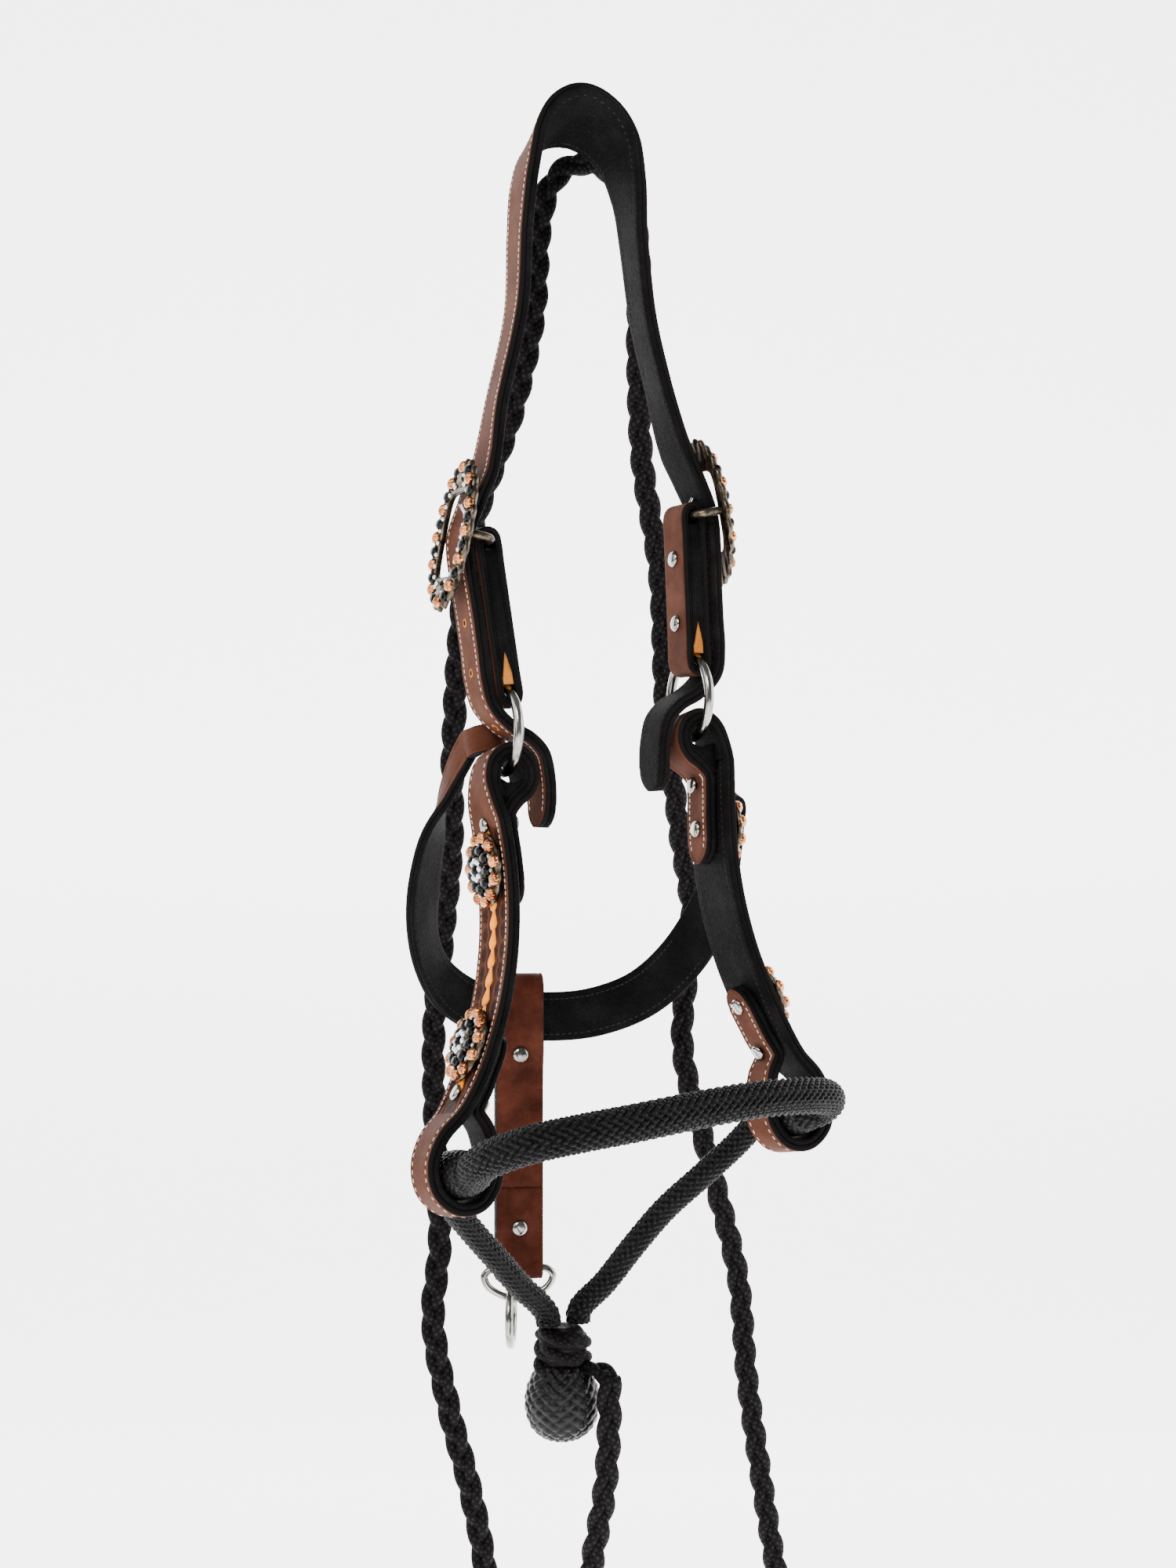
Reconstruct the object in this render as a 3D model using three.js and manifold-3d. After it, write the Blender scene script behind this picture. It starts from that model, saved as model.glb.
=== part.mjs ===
// Rope halter hung by its crown: a padded leather headstall with a braided
// rope noseband, a jaw strap with a hanging tie ring, and a lead rope.
// Millimetres, +Z up, nose towards -Y, +X to the horse's right as it hangs.
// The origin is the underside of the crown, where it rests on its hook.
import * as THREE from 'three';
import { mergeVertices } from 'three/addons/utils/BufferGeometryUtils.js';
import Module from 'manifold-3d';

const wasm = await Module();
wasm.setup();

// ---- driving dimensions ----
const lining = 3.4; // padded black lining
const leather = 2.6; // brown face leather
const gap = 0.3; // clearance between touching pieces
const strapT = lining + gap + leather; // a full strap
const strapHalf = 12.7; // half the 1 inch crown and jaw strap
const billetHalf = 11.6; // half width below the buckles
const poll = 19; // half width of the crown at the poll
const cheekHalf = 19; // half width of the 1 1/2 inch cheek
const foldHalf = 10.5; // half width where the cheek folds

const middle = 4; // x of the halter's centre line below the crown
const drop = 9; // the left side hangs this far low, the right side this far high
const barX = 57; // buckle bar, out from the centre line
const barY = -8;
const barZ = -210;
const barR = 2.2;
const ringX = 52; // cheek ring, out from the centre line
const ringY = -24;
const ringZ = -304;
const ringR = 20.9; // to the middle of the wire
const wireR = 2.5;
const lean = -0.169; // the cheeks lean forward about the rings, radians
const loopX = 38; // nose rope's loop, from the ring centre
const loopZ = -213;
const noseR = 8.6;
const shankR = 6.4;
const buttonR = 12;
const buttonHalf = 17;
const leadR = 6;
const heelX = 2;
const heelY = 14;
const rivetR = 1.6;

const sides = [
  { name: 'left', s: -1, dz: -drop },
  { name: 'right', s: 1, dz: drop },
];

const halter = new THREE.Group();
const V = (x, y, z) => new THREE.Vector3(x, y, z);
const yAxis = V(0, 1, 0);

const finish = {
  leather: { color: 0x7a5343, roughness: 0.55, metalness: 0 },
  tab: { color: 0x70392a, roughness: 0.5, metalness: 0 },
  lining: { color: 0x1c1a19, roughness: 0.7, metalness: 0 },
  filler: { color: 0xc87a35, roughness: 0.8, metalness: 0 },
  nickel: { color: 0xc8c8cc, roughness: 0.2, metalness: 1 },
  silver: { color: 0x8a8070, roughness: 0.35, metalness: 1 },
  rope: { color: 0x0c0b0b, roughness: 0.6, metalness: 0 },
  wrap: { color: 0x080808, roughness: 0.3, metalness: 0 },
};

// ---- shared tools ----
function volume(geometry) {
  const p = geometry.attributes.position;
  const index = geometry.index.array;
  const [a, b, c] = [V(0, 0, 0), V(0, 0, 0), V(0, 0, 0)];
  let sum = 0;
  for (let i = 0; i < index.length; i += 3) {
    a.fromBufferAttribute(p, index[i]);
    b.fromBufferAttribute(p, index[i + 1]);
    c.fromBufferAttribute(p, index[i + 2]);
    sum += a.dot(b.cross(c)) / 6;
  }
  return sum;
}

// One closed body with shared corners and its faces pointing out.
function solid(source) {
  let geometry = source.clone();
  geometry.deleteAttribute('normal');
  geometry.deleteAttribute('uv');
  geometry = mergeVertices(geometry, 1e-4);
  if (volume(geometry) < 0) {
    const index = geometry.index.array;
    for (let i = 0; i < index.length; i += 3) {
      [index[i], index[i + 1]] = [index[i + 1], index[i]];
    }
  }
  geometry.computeVertexNormals();
  return geometry;
}

function toManifold(geometry) {
  const body = solid(geometry);
  const mesh = new wasm.Mesh({
    numProp: 3,
    vertProperties: new Float32Array(body.attributes.position.array),
    triVerts: new Uint32Array(body.index.array),
  });
  return new wasm.Manifold(mesh);
}

function fromManifold(body) {
  const mesh = body.getMesh();
  const geometry = new THREE.BufferGeometry();
  geometry.setAttribute('position', new THREE.BufferAttribute(mesh.vertProperties, 3));
  geometry.setIndex(new THREE.BufferAttribute(mesh.triVerts, 1));
  return geometry;
}

function carve(geometry, cutters) {
  let body = toManifold(geometry);
  for (const cutter of cutters) body = body.subtract(toManifold(cutter));
  return fromManifold(body);
}

function join(a, b) {
  return fromManifold(toManifold(a).add(toManifold(b)));
}

function add(name, geometry, look, place) {
  const mesh = new THREE.Mesh(solid(geometry), new THREE.MeshStandardMaterial(finish[look]));
  mesh.name = name;
  if (place) mesh.applyMatrix4(place);
  halter.add(mesh);
}

// Skins a row of equal rings of corners; a band joins its last ring to its first.
// Opposite faces are split along the same diagonal, so twisted layers keep their gap.
function skin(rings, band) {
  const n = rings[0].length;
  const corners = rings.flat();
  const index = [];
  const spans = band ? rings.length : rings.length - 1;
  for (let i = 0; i < spans; i++) {
    for (let j = 0; j < n; j++) {
      const a = i * n + j;
      const b = i * n + ((j + 1) % n);
      const c = ((i + 1) % rings.length) * n + j;
      const d = ((i + 1) % rings.length) * n + ((j + 1) % n);
      if (2 * j < n) index.push(a, b, c, b, d, c);
      else index.push(a, b, d, a, d, c);
    }
  }
  const last = (rings.length - 1) * n;
  for (let j = 1; j < n - 1 && !band; j++) {
    index.push(0, j + 1, j);
    index.push(last, last + j, last + j + 1);
  }
  const geometry = new THREE.BufferGeometry().setFromPoints(corners);
  geometry.setIndex(index);
  return geometry;
}

// A strap layer swept along a line. Each stop is [x, y, z, half width] and, when
// the strap twists, an across direction. The layer lies between two offsets from
// the line, on the side that `along x across` points to.
function strap(stops, from, to, steps, band = false) {
  const line = new THREE.CatmullRomCurve3(stops.map((p) => V(p[0], p[1], p[2])), band);
  const half = new THREE.CatmullRomCurve3(stops.map((p) => V(p[3], 0, 0)), band);
  const turn = new THREE.CatmullRomCurve3(stops.map((p) => V(...(p[4] || [0, 1, 0]))), band);
  const rings = [];
  const stations = steps * (band ? stops.length : stops.length - 1);
  for (let i = 0; i < stations + (band ? 0 : 1); i++) {
    const u = i / stations;
    const p = line.getPoint(u);
    const t = line.getTangent(u);
    const w = turn.getPoint(u);
    w.addScaledVector(t, -w.dot(t)).normalize();
    const n = t.clone().cross(w);
    const h = half.getPoint(u).x;
    const corner = (a, b) => p.clone().addScaledVector(w, a).addScaledVector(n, b);
    rings.push([corner(-h, from), corner(h, from), corner(h, to), corner(-h, to)]);
  }
  return skin(rings, band);
}

// The round section has twice `arcs` sides.
function rope(points, radius, steps, arcs = 5) {
  const line = new THREE.CatmullRomCurve3(points.map((p) => V(...p)));
  const section = new THREE.Shape().absarc(0, 0, radius, 0, 2 * Math.PI);
  const options = { steps, extrudePath: line, bevelEnabled: false, curveSegments: arcs };
  return new THREE.ExtrudeGeometry(section, options);
}

// A round body about `axis`: its profile is [radius, height] pairs from end to end.
function turned(profile, segments, axis, centre) {
  const geometry = new THREE.LatheGeometry(profile.map((p) => new THREE.Vector2(...p)), segments);
  geometry.applyQuaternion(new THREE.Quaternion().setFromUnitVectors(yAxis, axis));
  return geometry.translate(centre.x, centre.y, centre.z);
}

function pin(radius, length, axis, centre) {
  const h = length / 2;
  return turned([[0, -h], [radius, -h], [radius, h], [0, h]], 8, axis, centre);
}

// A rivet through `grip` of leather, with a domed head at each end or a flat back.
function rivet(grip, axis, centre, blind = false) {
  const h = grip / 2 + gap;
  const head = 3.7;
  const dome = 1.6;
  const front = blind ? [[rivetR, h - gap], [0, h - gap]] : [[rivetR, h], [head, h], [0, h + dome]];
  return turned([[0, -h - dome], [head, -h], [rivetR, -h], ...front], 8, axis, centre);
}

const mirror = (geometry, s) => geometry.clone().scale(s, 1, 1);
const bore = (axis, centre) => pin(rivetR + 0.5, 40, axis, centre);

// ---- crown strap: both billets and the poll in one piece ----
// The billet's inner face from above the buckle to its tail, out from the centre line.
const billet = [
  [42, -140], [50, -173], [58, -192], [64.6, -209], [64.6, -226], [63, -245], [61.8, -264],
  [60.9, -280], [58.2, -291], [49.6, -299.6], [39.3, -305.4], [31.8, -313.5], [28.6, -326],
  [28, -340], [28.6, -352],
];
const arch = [
  [-27, -100], [-25, -60], [-22.5, -34], [-17, -15], [-8, -4.2], [3, 0], [14, -4.2],
  [23.5, -15], [29.5, -34], [32.5, -60], [38, -100],
];
const facing = [0.12, 0.99, 0]; // the strands hang a little turned

function crownStops() {
  const tail = (s, dz) => billet.map(([x, z], i) => {
    const y = z > barZ ? barY * ((-140 - z) / 70) : barY + (ringY - 1 - barY) * Math.min(1, (barZ - z) / 80);
    const half = i === billet.length - 1 ? 7 : z > -200 ? strapHalf : billetHalf;
    return [middle + s * x, Math.min(0, y), z + dz, half, z > -160 ? facing : [0, 1, 0]];
  });
  const poles = arch.map(([x, z]) => {
    const tilt = Math.max(0, 1 + z / 70);
    const half = strapHalf + (poll - strapHalf) * tilt;
    return [x, 0, z, half, [0.12 * (1 - tilt), 1 - 0.18 * tilt, -0.57 * tilt]];
  });
  return [...tail(-1, -drop).reverse(), ...poles, ...tail(1, drop)];
}

// ---- cart buckles ----
const tilt = 0.2; // the plates lean in at the top
const plateX = 13; // plate's back, out from the bar
const plateT = 3;
const plateHalfY = 22;
const plateHalfZ = 38;
const tongueUp = 0.87; // the tongue's slope
const tongueL = 21;

const outward = new THREE.Matrix4().makeBasis(V(0, 1, 0), V(0, 0, 1), V(1, 0, 0));

function buckleFrame() {
  const plate = new THREE.Shape().absellipse(0, 0, plateHalfY, plateHalfZ, 0, 2 * Math.PI);
  const window = new THREE.Path();
  const [hy, hz] = [14.4, 23];
  window.moveTo(-hy, -hz).lineTo(hy, -hz).lineTo(hy, hz).lineTo(-hy, hz).closePath();
  plate.holes.push(window);
  const options = { depth: plateT, bevelEnabled: false, curveSegments: 16 };
  return new THREE.ExtrudeGeometry(plate, options).applyMatrix4(outward).translate(plateX, 0, 0);
}

function buckleBar() {
  const foot = plateX - gap;
  const reach = 16.6;
  const path = [[foot, -reach, 0], [3, -reach, 0], [0.4, -reach + 2.6, 0], [0, -11, 0], [0, 0, 0],
    [0, 11, 0], [0.4, reach - 2.6, 0], [3, reach, 0], [foot, reach, 0]];
  return rope(path, barR, 22, 4);
}

function buckleTongue() {
  const inner = barR + gap;
  const eye = turned([[inner, -2], [inner + 2, -2], [inner + 2, 2], [inner, 2], [inner, -2]], 14,
    yAxis, V(0, 0, 0));
  const along = V(Math.cos(tongueUp), 0, Math.sin(tongueUp));
  const prong = pin(1.5, tongueL - 3.5, along, along.clone().multiplyScalar((tongueL + 3.5) / 2));
  return join(eye, prong);
}

function tongueSlot() {
  const slot = new THREE.BoxGeometry(30, 5, 9);
  slot.rotateY(-tongueUp);
  return slot.translate(15 * Math.cos(tongueUp), 0, 15 * Math.sin(tongueUp));
}

// ---- chapes: the band that joins each buckle bar to its ring ----
const chapeHalf = 11;
const chapeT = 4;
const chapeGrip = 3; // bar centre to the band's inner face
const chapeSeat = ringR - 3.4; // the lower fold's centre clears the ring's curve

function chapeStops() {
  const top = V(barX, 0, barZ);
  const foot = V(ringX, 0, ringZ + chapeSeat);
  const down = foot.clone().sub(top).normalize();
  const out = V(-down.z, 0, down.x);
  const stop = (base, a, b) => {
    const p = base.clone().addScaledVector(out, a).addScaledVector(down, b);
    return [p.x, 0, p.z, chapeHalf];
  };
  const g = chapeGrip;
  const c = g * Math.SQRT1_2;
  const stops = [stop(top, 0, -g), stop(top, c, -c), stop(top, g, 0), stop(top, g, 12), stop(top, g, 38),
    stop(foot, g, -12), stop(foot, g, 0), stop(foot, c, c), stop(foot, 0, g), stop(foot, -c, c),
    stop(foot, -g, 0), stop(foot, -g, -12), stop(top, -g, 38), stop(top, -g, 12), stop(top, -g, 0),
    stop(top, -c, -c)];
  return { stops, top, foot, down, out };
}

// ---- cheeks, built about the ring centre: [x out, z, half width] of the lining's face ----
const cheekLine = [
  [3.1, -86, 7], [3.6, -80, foldHalf], [4.5, -62, foldHalf], [5.6, -49, foldHalf], [5.4, -41, foldHalf],
  [0, -34, foldHalf], [-5.6, -29.5, foldHalf], [-8, -24, foldHalf], [-6, -17, foldHalf], [0, -13.6, foldHalf],
  [6, -17, foldHalf], [8.8, -25, foldHalf + 1], [8.6, -34, 15], [6.4, -46, cheekHalf - 1],
  [4.9, -62, cheekHalf], [4.4, -84, cheekHalf], [6.5, -108, cheekHalf], [11.5, -132, cheekHalf],
  [19, -154, cheekHalf], [27, -172, cheekHalf - 1], [35.5, -186, 16], [46, -197, 13.5],
  [50.6, -208, 12], [49, -219, 11.5], [41, -225.7, 11.2], [32, -224.6, 11.2], [25.6, -216, 11.2],
  [25.4, -205, 11.2], [27.6, -194, 11], [32.2, -184, foldHalf], [26.5, -172, foldHalf],
  [18.4, -154.6, foldHalf], [15.6, -147.6, 7],
];
const cheekStops = cheekLine.map(([x, z, half]) => [x, 0, z, half]);
const rivetStops = [13.05, 14.3, 18.1, 19.4]; // along the outer run, in stops
const spread = [2.6, 0.5, 0.5, 2]; // the two runs' distance apart at each rivet
const mainCurve = new THREE.CatmullRomCurve3(cheekStops.map((p) => V(p[0], p[1], p[2])));

function cheekFrame(stop) {
  const u = stop / (cheekStops.length - 1);
  const t = mainCurve.getTangent(u);
  return { at: mainCurve.getPoint(u), out: t.cross(yAxis).normalize() };
}

function cheekRivets() {
  return rivetStops.map((stop, i) => {
    const { at, out } = cheekFrame(stop);
    const centre = at.clone().addScaledVector(out, -spread[i] / 2);
    return { at, out, centre, grip: 2 * strapT + spread[i], blind: i === 1 || i === 2 };
  });
}

const conchoR = 18;
function concho({ out, at }) {
  const base = strapT + 0.9;
  const edge = 2;
  const profile = [[0, base], [conchoR - 3, base], [conchoR, base + edge], [conchoR * 0.6, base + 5],
    [0, base + 7]];
  return turned(profile, 16, out, at);
}

function addSide({ name, s, dz }) {
  const onLine = new THREE.Matrix4().makeTranslation(middle, 0, dz);
  const bar = new THREE.Matrix4().makeTranslation(middle + s * barX, barY, barZ + dz)
    .multiply(new THREE.Matrix4().makeRotationY(-s * tilt));
  add(`buckle_frame_${name}`, mirror(buckleFrame(), s), 'silver', bar);
  add(`buckle_bar_${name}`, mirror(buckleBar(), s), 'silver', bar);
  add(`buckle_tongue_${name}`, mirror(buckleTongue(), s), 'nickel', bar);

  const { stops, top, foot, down, out } = chapeStops();
  const holes = [0.3, 0.74].map((f) => top.clone().lerp(foot, f));
  const slot = tongueSlot().translate(barX, 0, barZ);
  const eyeRoom = new THREE.BoxGeometry(19, 5.4, 15).translate(barX, 0, barZ + 1);
  const along = (z) => Math.min(1, Math.max(0, (barZ - z) / (barZ - ringZ - chapeSeat)));
  const shift = (z) => barY + (ringY - barY) * along(z);
  const slant = (geometry) => {
    const p = geometry.attributes.position;
    for (let i = 0; i < p.count; i++) p.setY(i, p.getY(i) + shift(p.getZ(i)));
    return geometry;
  };
  const bores = holes.map((h) => bore(out, h));
  const chape = carve(strap(stops, 0, chapeT, 2, true), [...bores, slot, eyeRoom]);
  const core = [top.clone().addScaledVector(down, 9), foot.clone().addScaledVector(down, -6.5)];
  const slab = core.map((p) => [p.x, 0, p.z, chapeHalf - 0.8]);
  const filler = carve(strap(slab, -chapeGrip + gap, chapeGrip - gap, 2), bores);
  add(`chape_${name}`, mirror(slant(chape), s), 'leather', onLine);
  add(`chape_filler_${name}`, mirror(slant(filler), s), 'filler', onLine);
  holes.forEach((h, i) => {
    const pinned = rivet(2 * (chapeGrip + chapeT), out, h, true).translate(0, shift(h.z), 0);
    add(`chape_rivet_${name}_${i + 1}`, mirror(pinned, s), 'nickel', onLine);
  });

  const ring = new THREE.TorusGeometry(ringR, wireR, 8, 32).applyMatrix4(outward);
  const atRing = new THREE.Matrix4().makeTranslation(middle + s * ringX, ringY, ringZ + dz);
  add(`cheek_ring_${name}`, ring, 'nickel', atRing);

  const hung = atRing.clone().multiply(new THREE.Matrix4().makeRotationX(lean));
  const fixings = cheekRivets();
  const cheekBores = fixings.map((f) => bore(f.out, f.centre));
  const pad = carve(strap(cheekStops, 0, lining, 2), cheekBores);
  const face = carve(strap(cheekStops, lining + gap, strapT, 2), cheekBores);
  add(`cheek_lining_${name}`, mirror(pad, s), 'lining', hung);
  add(`cheek_leather_${name}`, mirror(face, s), 'leather', hung);
  fixings.forEach((f, i) => {
    add(`cheek_rivet_${name}_${i + 1}`, mirror(rivet(f.grip, f.out, f.centre, f.blind), s),
      'nickel', hung);
  });
  add(`concho_${name}_upper`, mirror(concho(fixings[1]), s), 'silver', hung);
  add(`concho_${name}_lower`, mirror(concho(fixings[2]), s), 'silver', hung);

  const barrel = [-17, -12, -5, 5, 12, 17].map((h) => [buttonR - (h * h) / 90, h]);
  const button = turned([[0, -buttonHalf], ...barrel, [0, buttonHalf]], 16, yAxis, V(loopX, 0, loopZ));
  add(`side_button_${name}`, mirror(button, s), 'wrap', hung);
}

sides.forEach(addSide);

// ---- crown ----
function addCrown() {
  const stops = crownStops();
  const slots = sides.map(({ s, dz }) => mirror(tongueSlot(), s)
    .applyMatrix4(new THREE.Matrix4().makeTranslation(middle + s * barX, barY, barZ + dz)
      .multiply(new THREE.Matrix4().makeRotationY(-s * tilt))));
  add('crown_lining', carve(strap(stops, 0, lining, 2), slots), 'lining');
  add('crown_leather', carve(strap(stops, lining + gap, strapT, 2), slots), 'leather');
}
addCrown();

// ---- rope noseband ----
const nose = [
  [94, -77.4, -502], [94.3, -80.8, -501.3], [97, -88.5, -497.5], [93, -98, -492.5], [78, -110, -489], [42, -125, -486.5],
  [6, -133, -488], [-30, -137, -491.5], [-56, -134, -495], [-76, -124, -500], [-87.5, -106, -508],
  [-89, -92.5, -514], [-86.2, -80.8, -519.3], [-86, -77.4, -520],
];
const shanks = {
  right: [[94, -42.4, -508], [93.8, -39, -508.6], [90, -32, -514], [81, -25, -526], [67, -17, -541],
    [51, -6, -559], [37, 2, -578], [23, 9, -598], [12.5, 13, -609], [10.6, 13.4, -613], [10.5, 13.4, -617.6]],
  left: [[-86, -42.4, -526], [-85.8, -39, -526.6], [-83, -32, -532], [-75, -25, -544], [-61, -16, -559],
    [-43, -6, -577], [-26, 4, -594], [-12, 11.5, -606], [-6.8, 13.3, -613], [-6.5, 13.4, -617.6]],
};
add('nose_rope', rope(nose, noseR, 36), 'rope');
add('shank_rope_left', rope(shanks.left, shankR, 24, 4), 'rope');
add('shank_rope_right', rope(shanks.right, shankR, 24, 4), 'rope');

function heelWrap() {
  const collar = turned([[0, -8.8], [13, -8.8], [15.5, -6], [16.5, 0], [15.5, 7], [14, 10.5], [0, 10.5]],
    16, V(0, 0, 1), V(heelX, heelY, -629.2));
  const path = [[4, 12, -625], [10, 3, -627], [15.5, -4.5, -631], [18.3, -7, -637], [18.3, -7, -642]];
  const turn = rope(path, leadR + 0.4, 10, 4);
  return join(collar, turn);
}
add('heel_wrap', heelWrap(), 'rope');
const knob = [[0, -20], [9, -18.4], [16, -12.5], [19.3, -3], [18.8, 6], [15.5, 14], [11, 19.6], [0, 19.6]];
add('heel_knob', turned(knob, 16, V(0, 0, 1), V(heelX, heelY + 1, -658)), 'wrap');

// ---- jaw strap ----
// It loops the left ring's back, goes round behind the jaw and ends on a staple
// on the outside of the right cheek.
const jawT = 5.2;
const jawPad = 2.6;
const jawAt = {
  left: { p: V(-48, -3.8, -318.4), go: V(0, 0.966, -0.259), w: V(0, -0.259, -0.966), r: 4.5 },
  right: { p: V(85, -11, -350), go: V(0.08, 0.35, -0.93), w: V(0, -0.93, -0.35), r: 2.4 },
};
const jawAcross = ({ go, w }) => w.clone().addScaledVector(go, -w.dot(go)).normalize();

function jawEnd(end, out) {
  const { p, go, r } = end;
  const w = jawAcross(end);
  const side = go.clone().cross(w).multiplyScalar(out).normalize();
  const c = r * Math.SQRT1_2;
  const stop = (a, b, half) => {
    const q = p.clone().addScaledVector(go, a).addScaledVector(side, b);
    return [q.x, q.y, q.z, half, w.toArray()];
  };
  return [stop(20, -r, 6), stop(8, -r, 7), stop(0, -r, 7), stop(-c, -c, 7), stop(-r, 0, 7),
    stop(-c, c, 7), stop(0, r, 7), stop(8, r, 7.5)];
}

function jawStops() {
  const h = strapHalf;
  const round = [
    [-57.5, 21, -345, 10, [-0.35, -0.6, -0.8]], [-63.5, 28, -372, 12, [-0.8, -0.6, -0.4]],
    [-64, 37, -398, h, [-0.8, -0.5, -0.5]], [-57, 51, -425, h, [-0.5, -0.4, -0.8]],
    [-41.5, 64, -446, h, [-0.2, -0.25, -1]], [-15, 71, -461, h, [0, -0.05, -1]],
    [16, 63, -464.5, h, [0, 0, -1]], [39.5, 54, -462, h, [0.05, -0.1, -1]],
    [63, 44, -452, h, [0.3, -0.2, -1]], [80.5, 32, -432, h, [0.5, -0.4, -0.9]],
    [88.5, 16, -404, h, [0.3, -0.7, -0.8]], [89.5, 4, -380, 11, [0.1, -0.8, -0.6]],
  ];
  return [...jawEnd(jawAt.left, 1), ...round, ...jawEnd(jawAt.right, -1).reverse()];
}
add('jaw_strap_lining', strap(jawStops(), 0, jawPad, 2), 'lining');
add('jaw_strap_leather', strap(jawStops(), jawPad + gap, jawT, 2), 'leather');

const jawDeeR = 1.5;
const clipAt = V(73.2, -18, -347);
function jawDee() {
  const { p } = jawAt.right;
  const w = jawAcross(jawAt.right);
  const outline = [[0, 0], [7.6, 0], [9.8, -2.4], [9.8, -8.6], [8.4, -13.6], [5, -14.4], [-8, -10.6],
    [-9.8, -8], [-9.8, -2.4], [-7.6, 0]];
  const corners = outline.map(([a, b]) => p.clone().addScaledVector(w, a).add(V(b, 0, 0)));
  const line = new THREE.CatmullRomCurve3(corners, true, 'centripetal');
  return new THREE.TubeGeometry(line, 40, jawDeeR, 6, true);
}
add('jaw_dee', jawDee(), 'nickel');
add('jaw_dee_clip', new THREE.BoxGeometry(1.6, 5, 7).translate(clipAt.x, clipAt.y, clipAt.z), 'nickel');

// ---- tab with its dee and tie ring, built about the jaw strap's section ----
const tabT = 3.2;
const tabSeam = -92;
const deeZ = -137;
const deeR = 2;
const tabPlace = new THREE.Matrix4().makeTranslation(1.3, 70.4, -463.4)
  .multiply(new THREE.Matrix4().makeRotationZ(-0.28));

function addTab() {
  const w = strapHalf;
  const across = [1, 0, 0];
  const stop = (y, z) => [0, y, z, w, across];
  const upper = [stop(2.2, tabSeam), stop(2.2, -40), stop(3.4, -28), stop(5.6, -16), stop(6.2, 0),
    stop(6.2, 12), stop(4.4, 17), stop(0, 19.2), stop(-4.4, 17), stop(-6.2, 12), stop(-6.2, 0),
    stop(-5.6, -16), stop(-3.4, -28), stop(-2.2, -40), stop(-2.2, tabSeam)];
  const r = deeR + 0.4;
  const lower = [stop(-2.2, tabSeam - gap), stop(-2.2, -118), stop(-r, deeZ + 3), stop(-r, deeZ),
    stop(-r * 0.7, deeZ - r * 0.7), stop(0, deeZ - r), stop(r * 0.7, deeZ - r * 0.7), stop(r, deeZ),
    stop(r, deeZ + 3), stop(2.2, -118), stop(2.2, tabSeam - gap)];
  const core = [stop(0, -32), stop(0, -128)];
  const holes = [V(0, 0, -20.5), V(0, 0, -114)];
  const bores = holes.map((h) => bore(yAxis, h));
  add('tab_upper', carve(strap(upper, 0, tabT, 2), bores), 'tab', tabPlace);
  add('tab_lower', carve(strap(lower, 0, tabT, 2), bores), 'tab', tabPlace);
  add('tab_filler', carve(strap(core, -1.8, 1.8, 8), bores), 'lining', tabPlace);
  add('tab_rivet_upper', rivet(2 * (5.6 + tabT), yAxis, holes[0]), 'nickel', tabPlace);
  add('tab_rivet_lower', rivet(2 * (2.2 + tabT), yAxis, holes[1]), 'nickel', tabPlace);
}
addTab();

function deeLoop() {
  const outline = [[-15, 0], [0, 0], [15, 0], [18.6, -3.5], [15.5, -10], [0, -16.2], [-15.5, -10], [-18.6, -3.5]];
  const line = new THREE.CatmullRomCurve3(outline.map(([x, z]) => V(x, 0, deeZ + z)), true, 'centripetal');
  return new THREE.TubeGeometry(line, 40, deeR, 6, true);
}
add('tab_dee', deeLoop(), 'nickel', tabPlace);
const tieR = 14.8;
const tieWire = 2.2;
const tieTop = deeZ - 15.4 + deeR + tieWire + gap;
const tieRing = new THREE.TorusGeometry(tieR, tieWire, 6, 28).applyMatrix4(outward).rotateZ(-0.2)
  .translate(-4, 0, tieTop - tieR);
add('tie_ring', tieRing, 'nickel', tabPlace);

// ---- lead rope ----
const leadDrop = [
  [18.3, -7, -642.4], [18.6, -7, -655], [18.6, -6, -675], [18, -3, -700], [16, 3, -727], [14, 9, -755],
  [14, 13, -785], [16, 16, -820], [18, 19, -850], [16.5, 22.5, -874], [11.5, 26.3, -891], [4.6, 30.2, -900.2],
  [2, 31.8, -900.9], [-1.7, 33.9, -901],
];
const leadMain = [
  [-2.4, 34.3, -901], [-6, 36.4, -900.9], [-9, 38.1, -900], [-17, 42.6, -889], [-22, 47, -872], [-24, 52, -848], [-24, 56, -810], [-22, 60, -760],
  [-31, 60, -712], [-43, 60, -668], [-52, 60, -620], [-47, 63, -580], [-46, 72, -525], [-43, 82, -470],
  [-39, 80, -424], [-40, 64, -372], [-43, 55, -330], [-41, 50, -262], [-34, 48, -205], [-16, 38, -145],
  [-7, 31, -95], [-4, 30, -50], [1, 29, -28], [11, 28, -16.5], [24, 27.5, -13], [38, 28, -17.5],
  [48, 30, -29], [54, 31.5, -55], [55, 34, -110], [62, 43, -165], [76, 50, -225], [80, 50, -300],
  [93, 59, -366], [107, 71, -418], [101, 71, -485], [113, 61, -550], [130, 60, -614], [136, 60, -672],
  [148, 60, -746], [159, 60, -810], [163, 60, -890], [163, 60, -984],
];
add('lead_rope_drop', rope(leadDrop, leadR, 22, 4), 'rope');
add('lead_rope_main', rope(leadMain, leadR, 76, 4), 'rope');
const knotProfile = [[0, -14], [7, -13], [10.5, -7], [11, 0], [9.5, 8], [6.5, 12.5], [0, 12.5]];
add('rope_end_knot', turned(knotProfile, 16, V(0, 0, 1), V(163, 60, -997)), 'rope');

export default halter;
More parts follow.
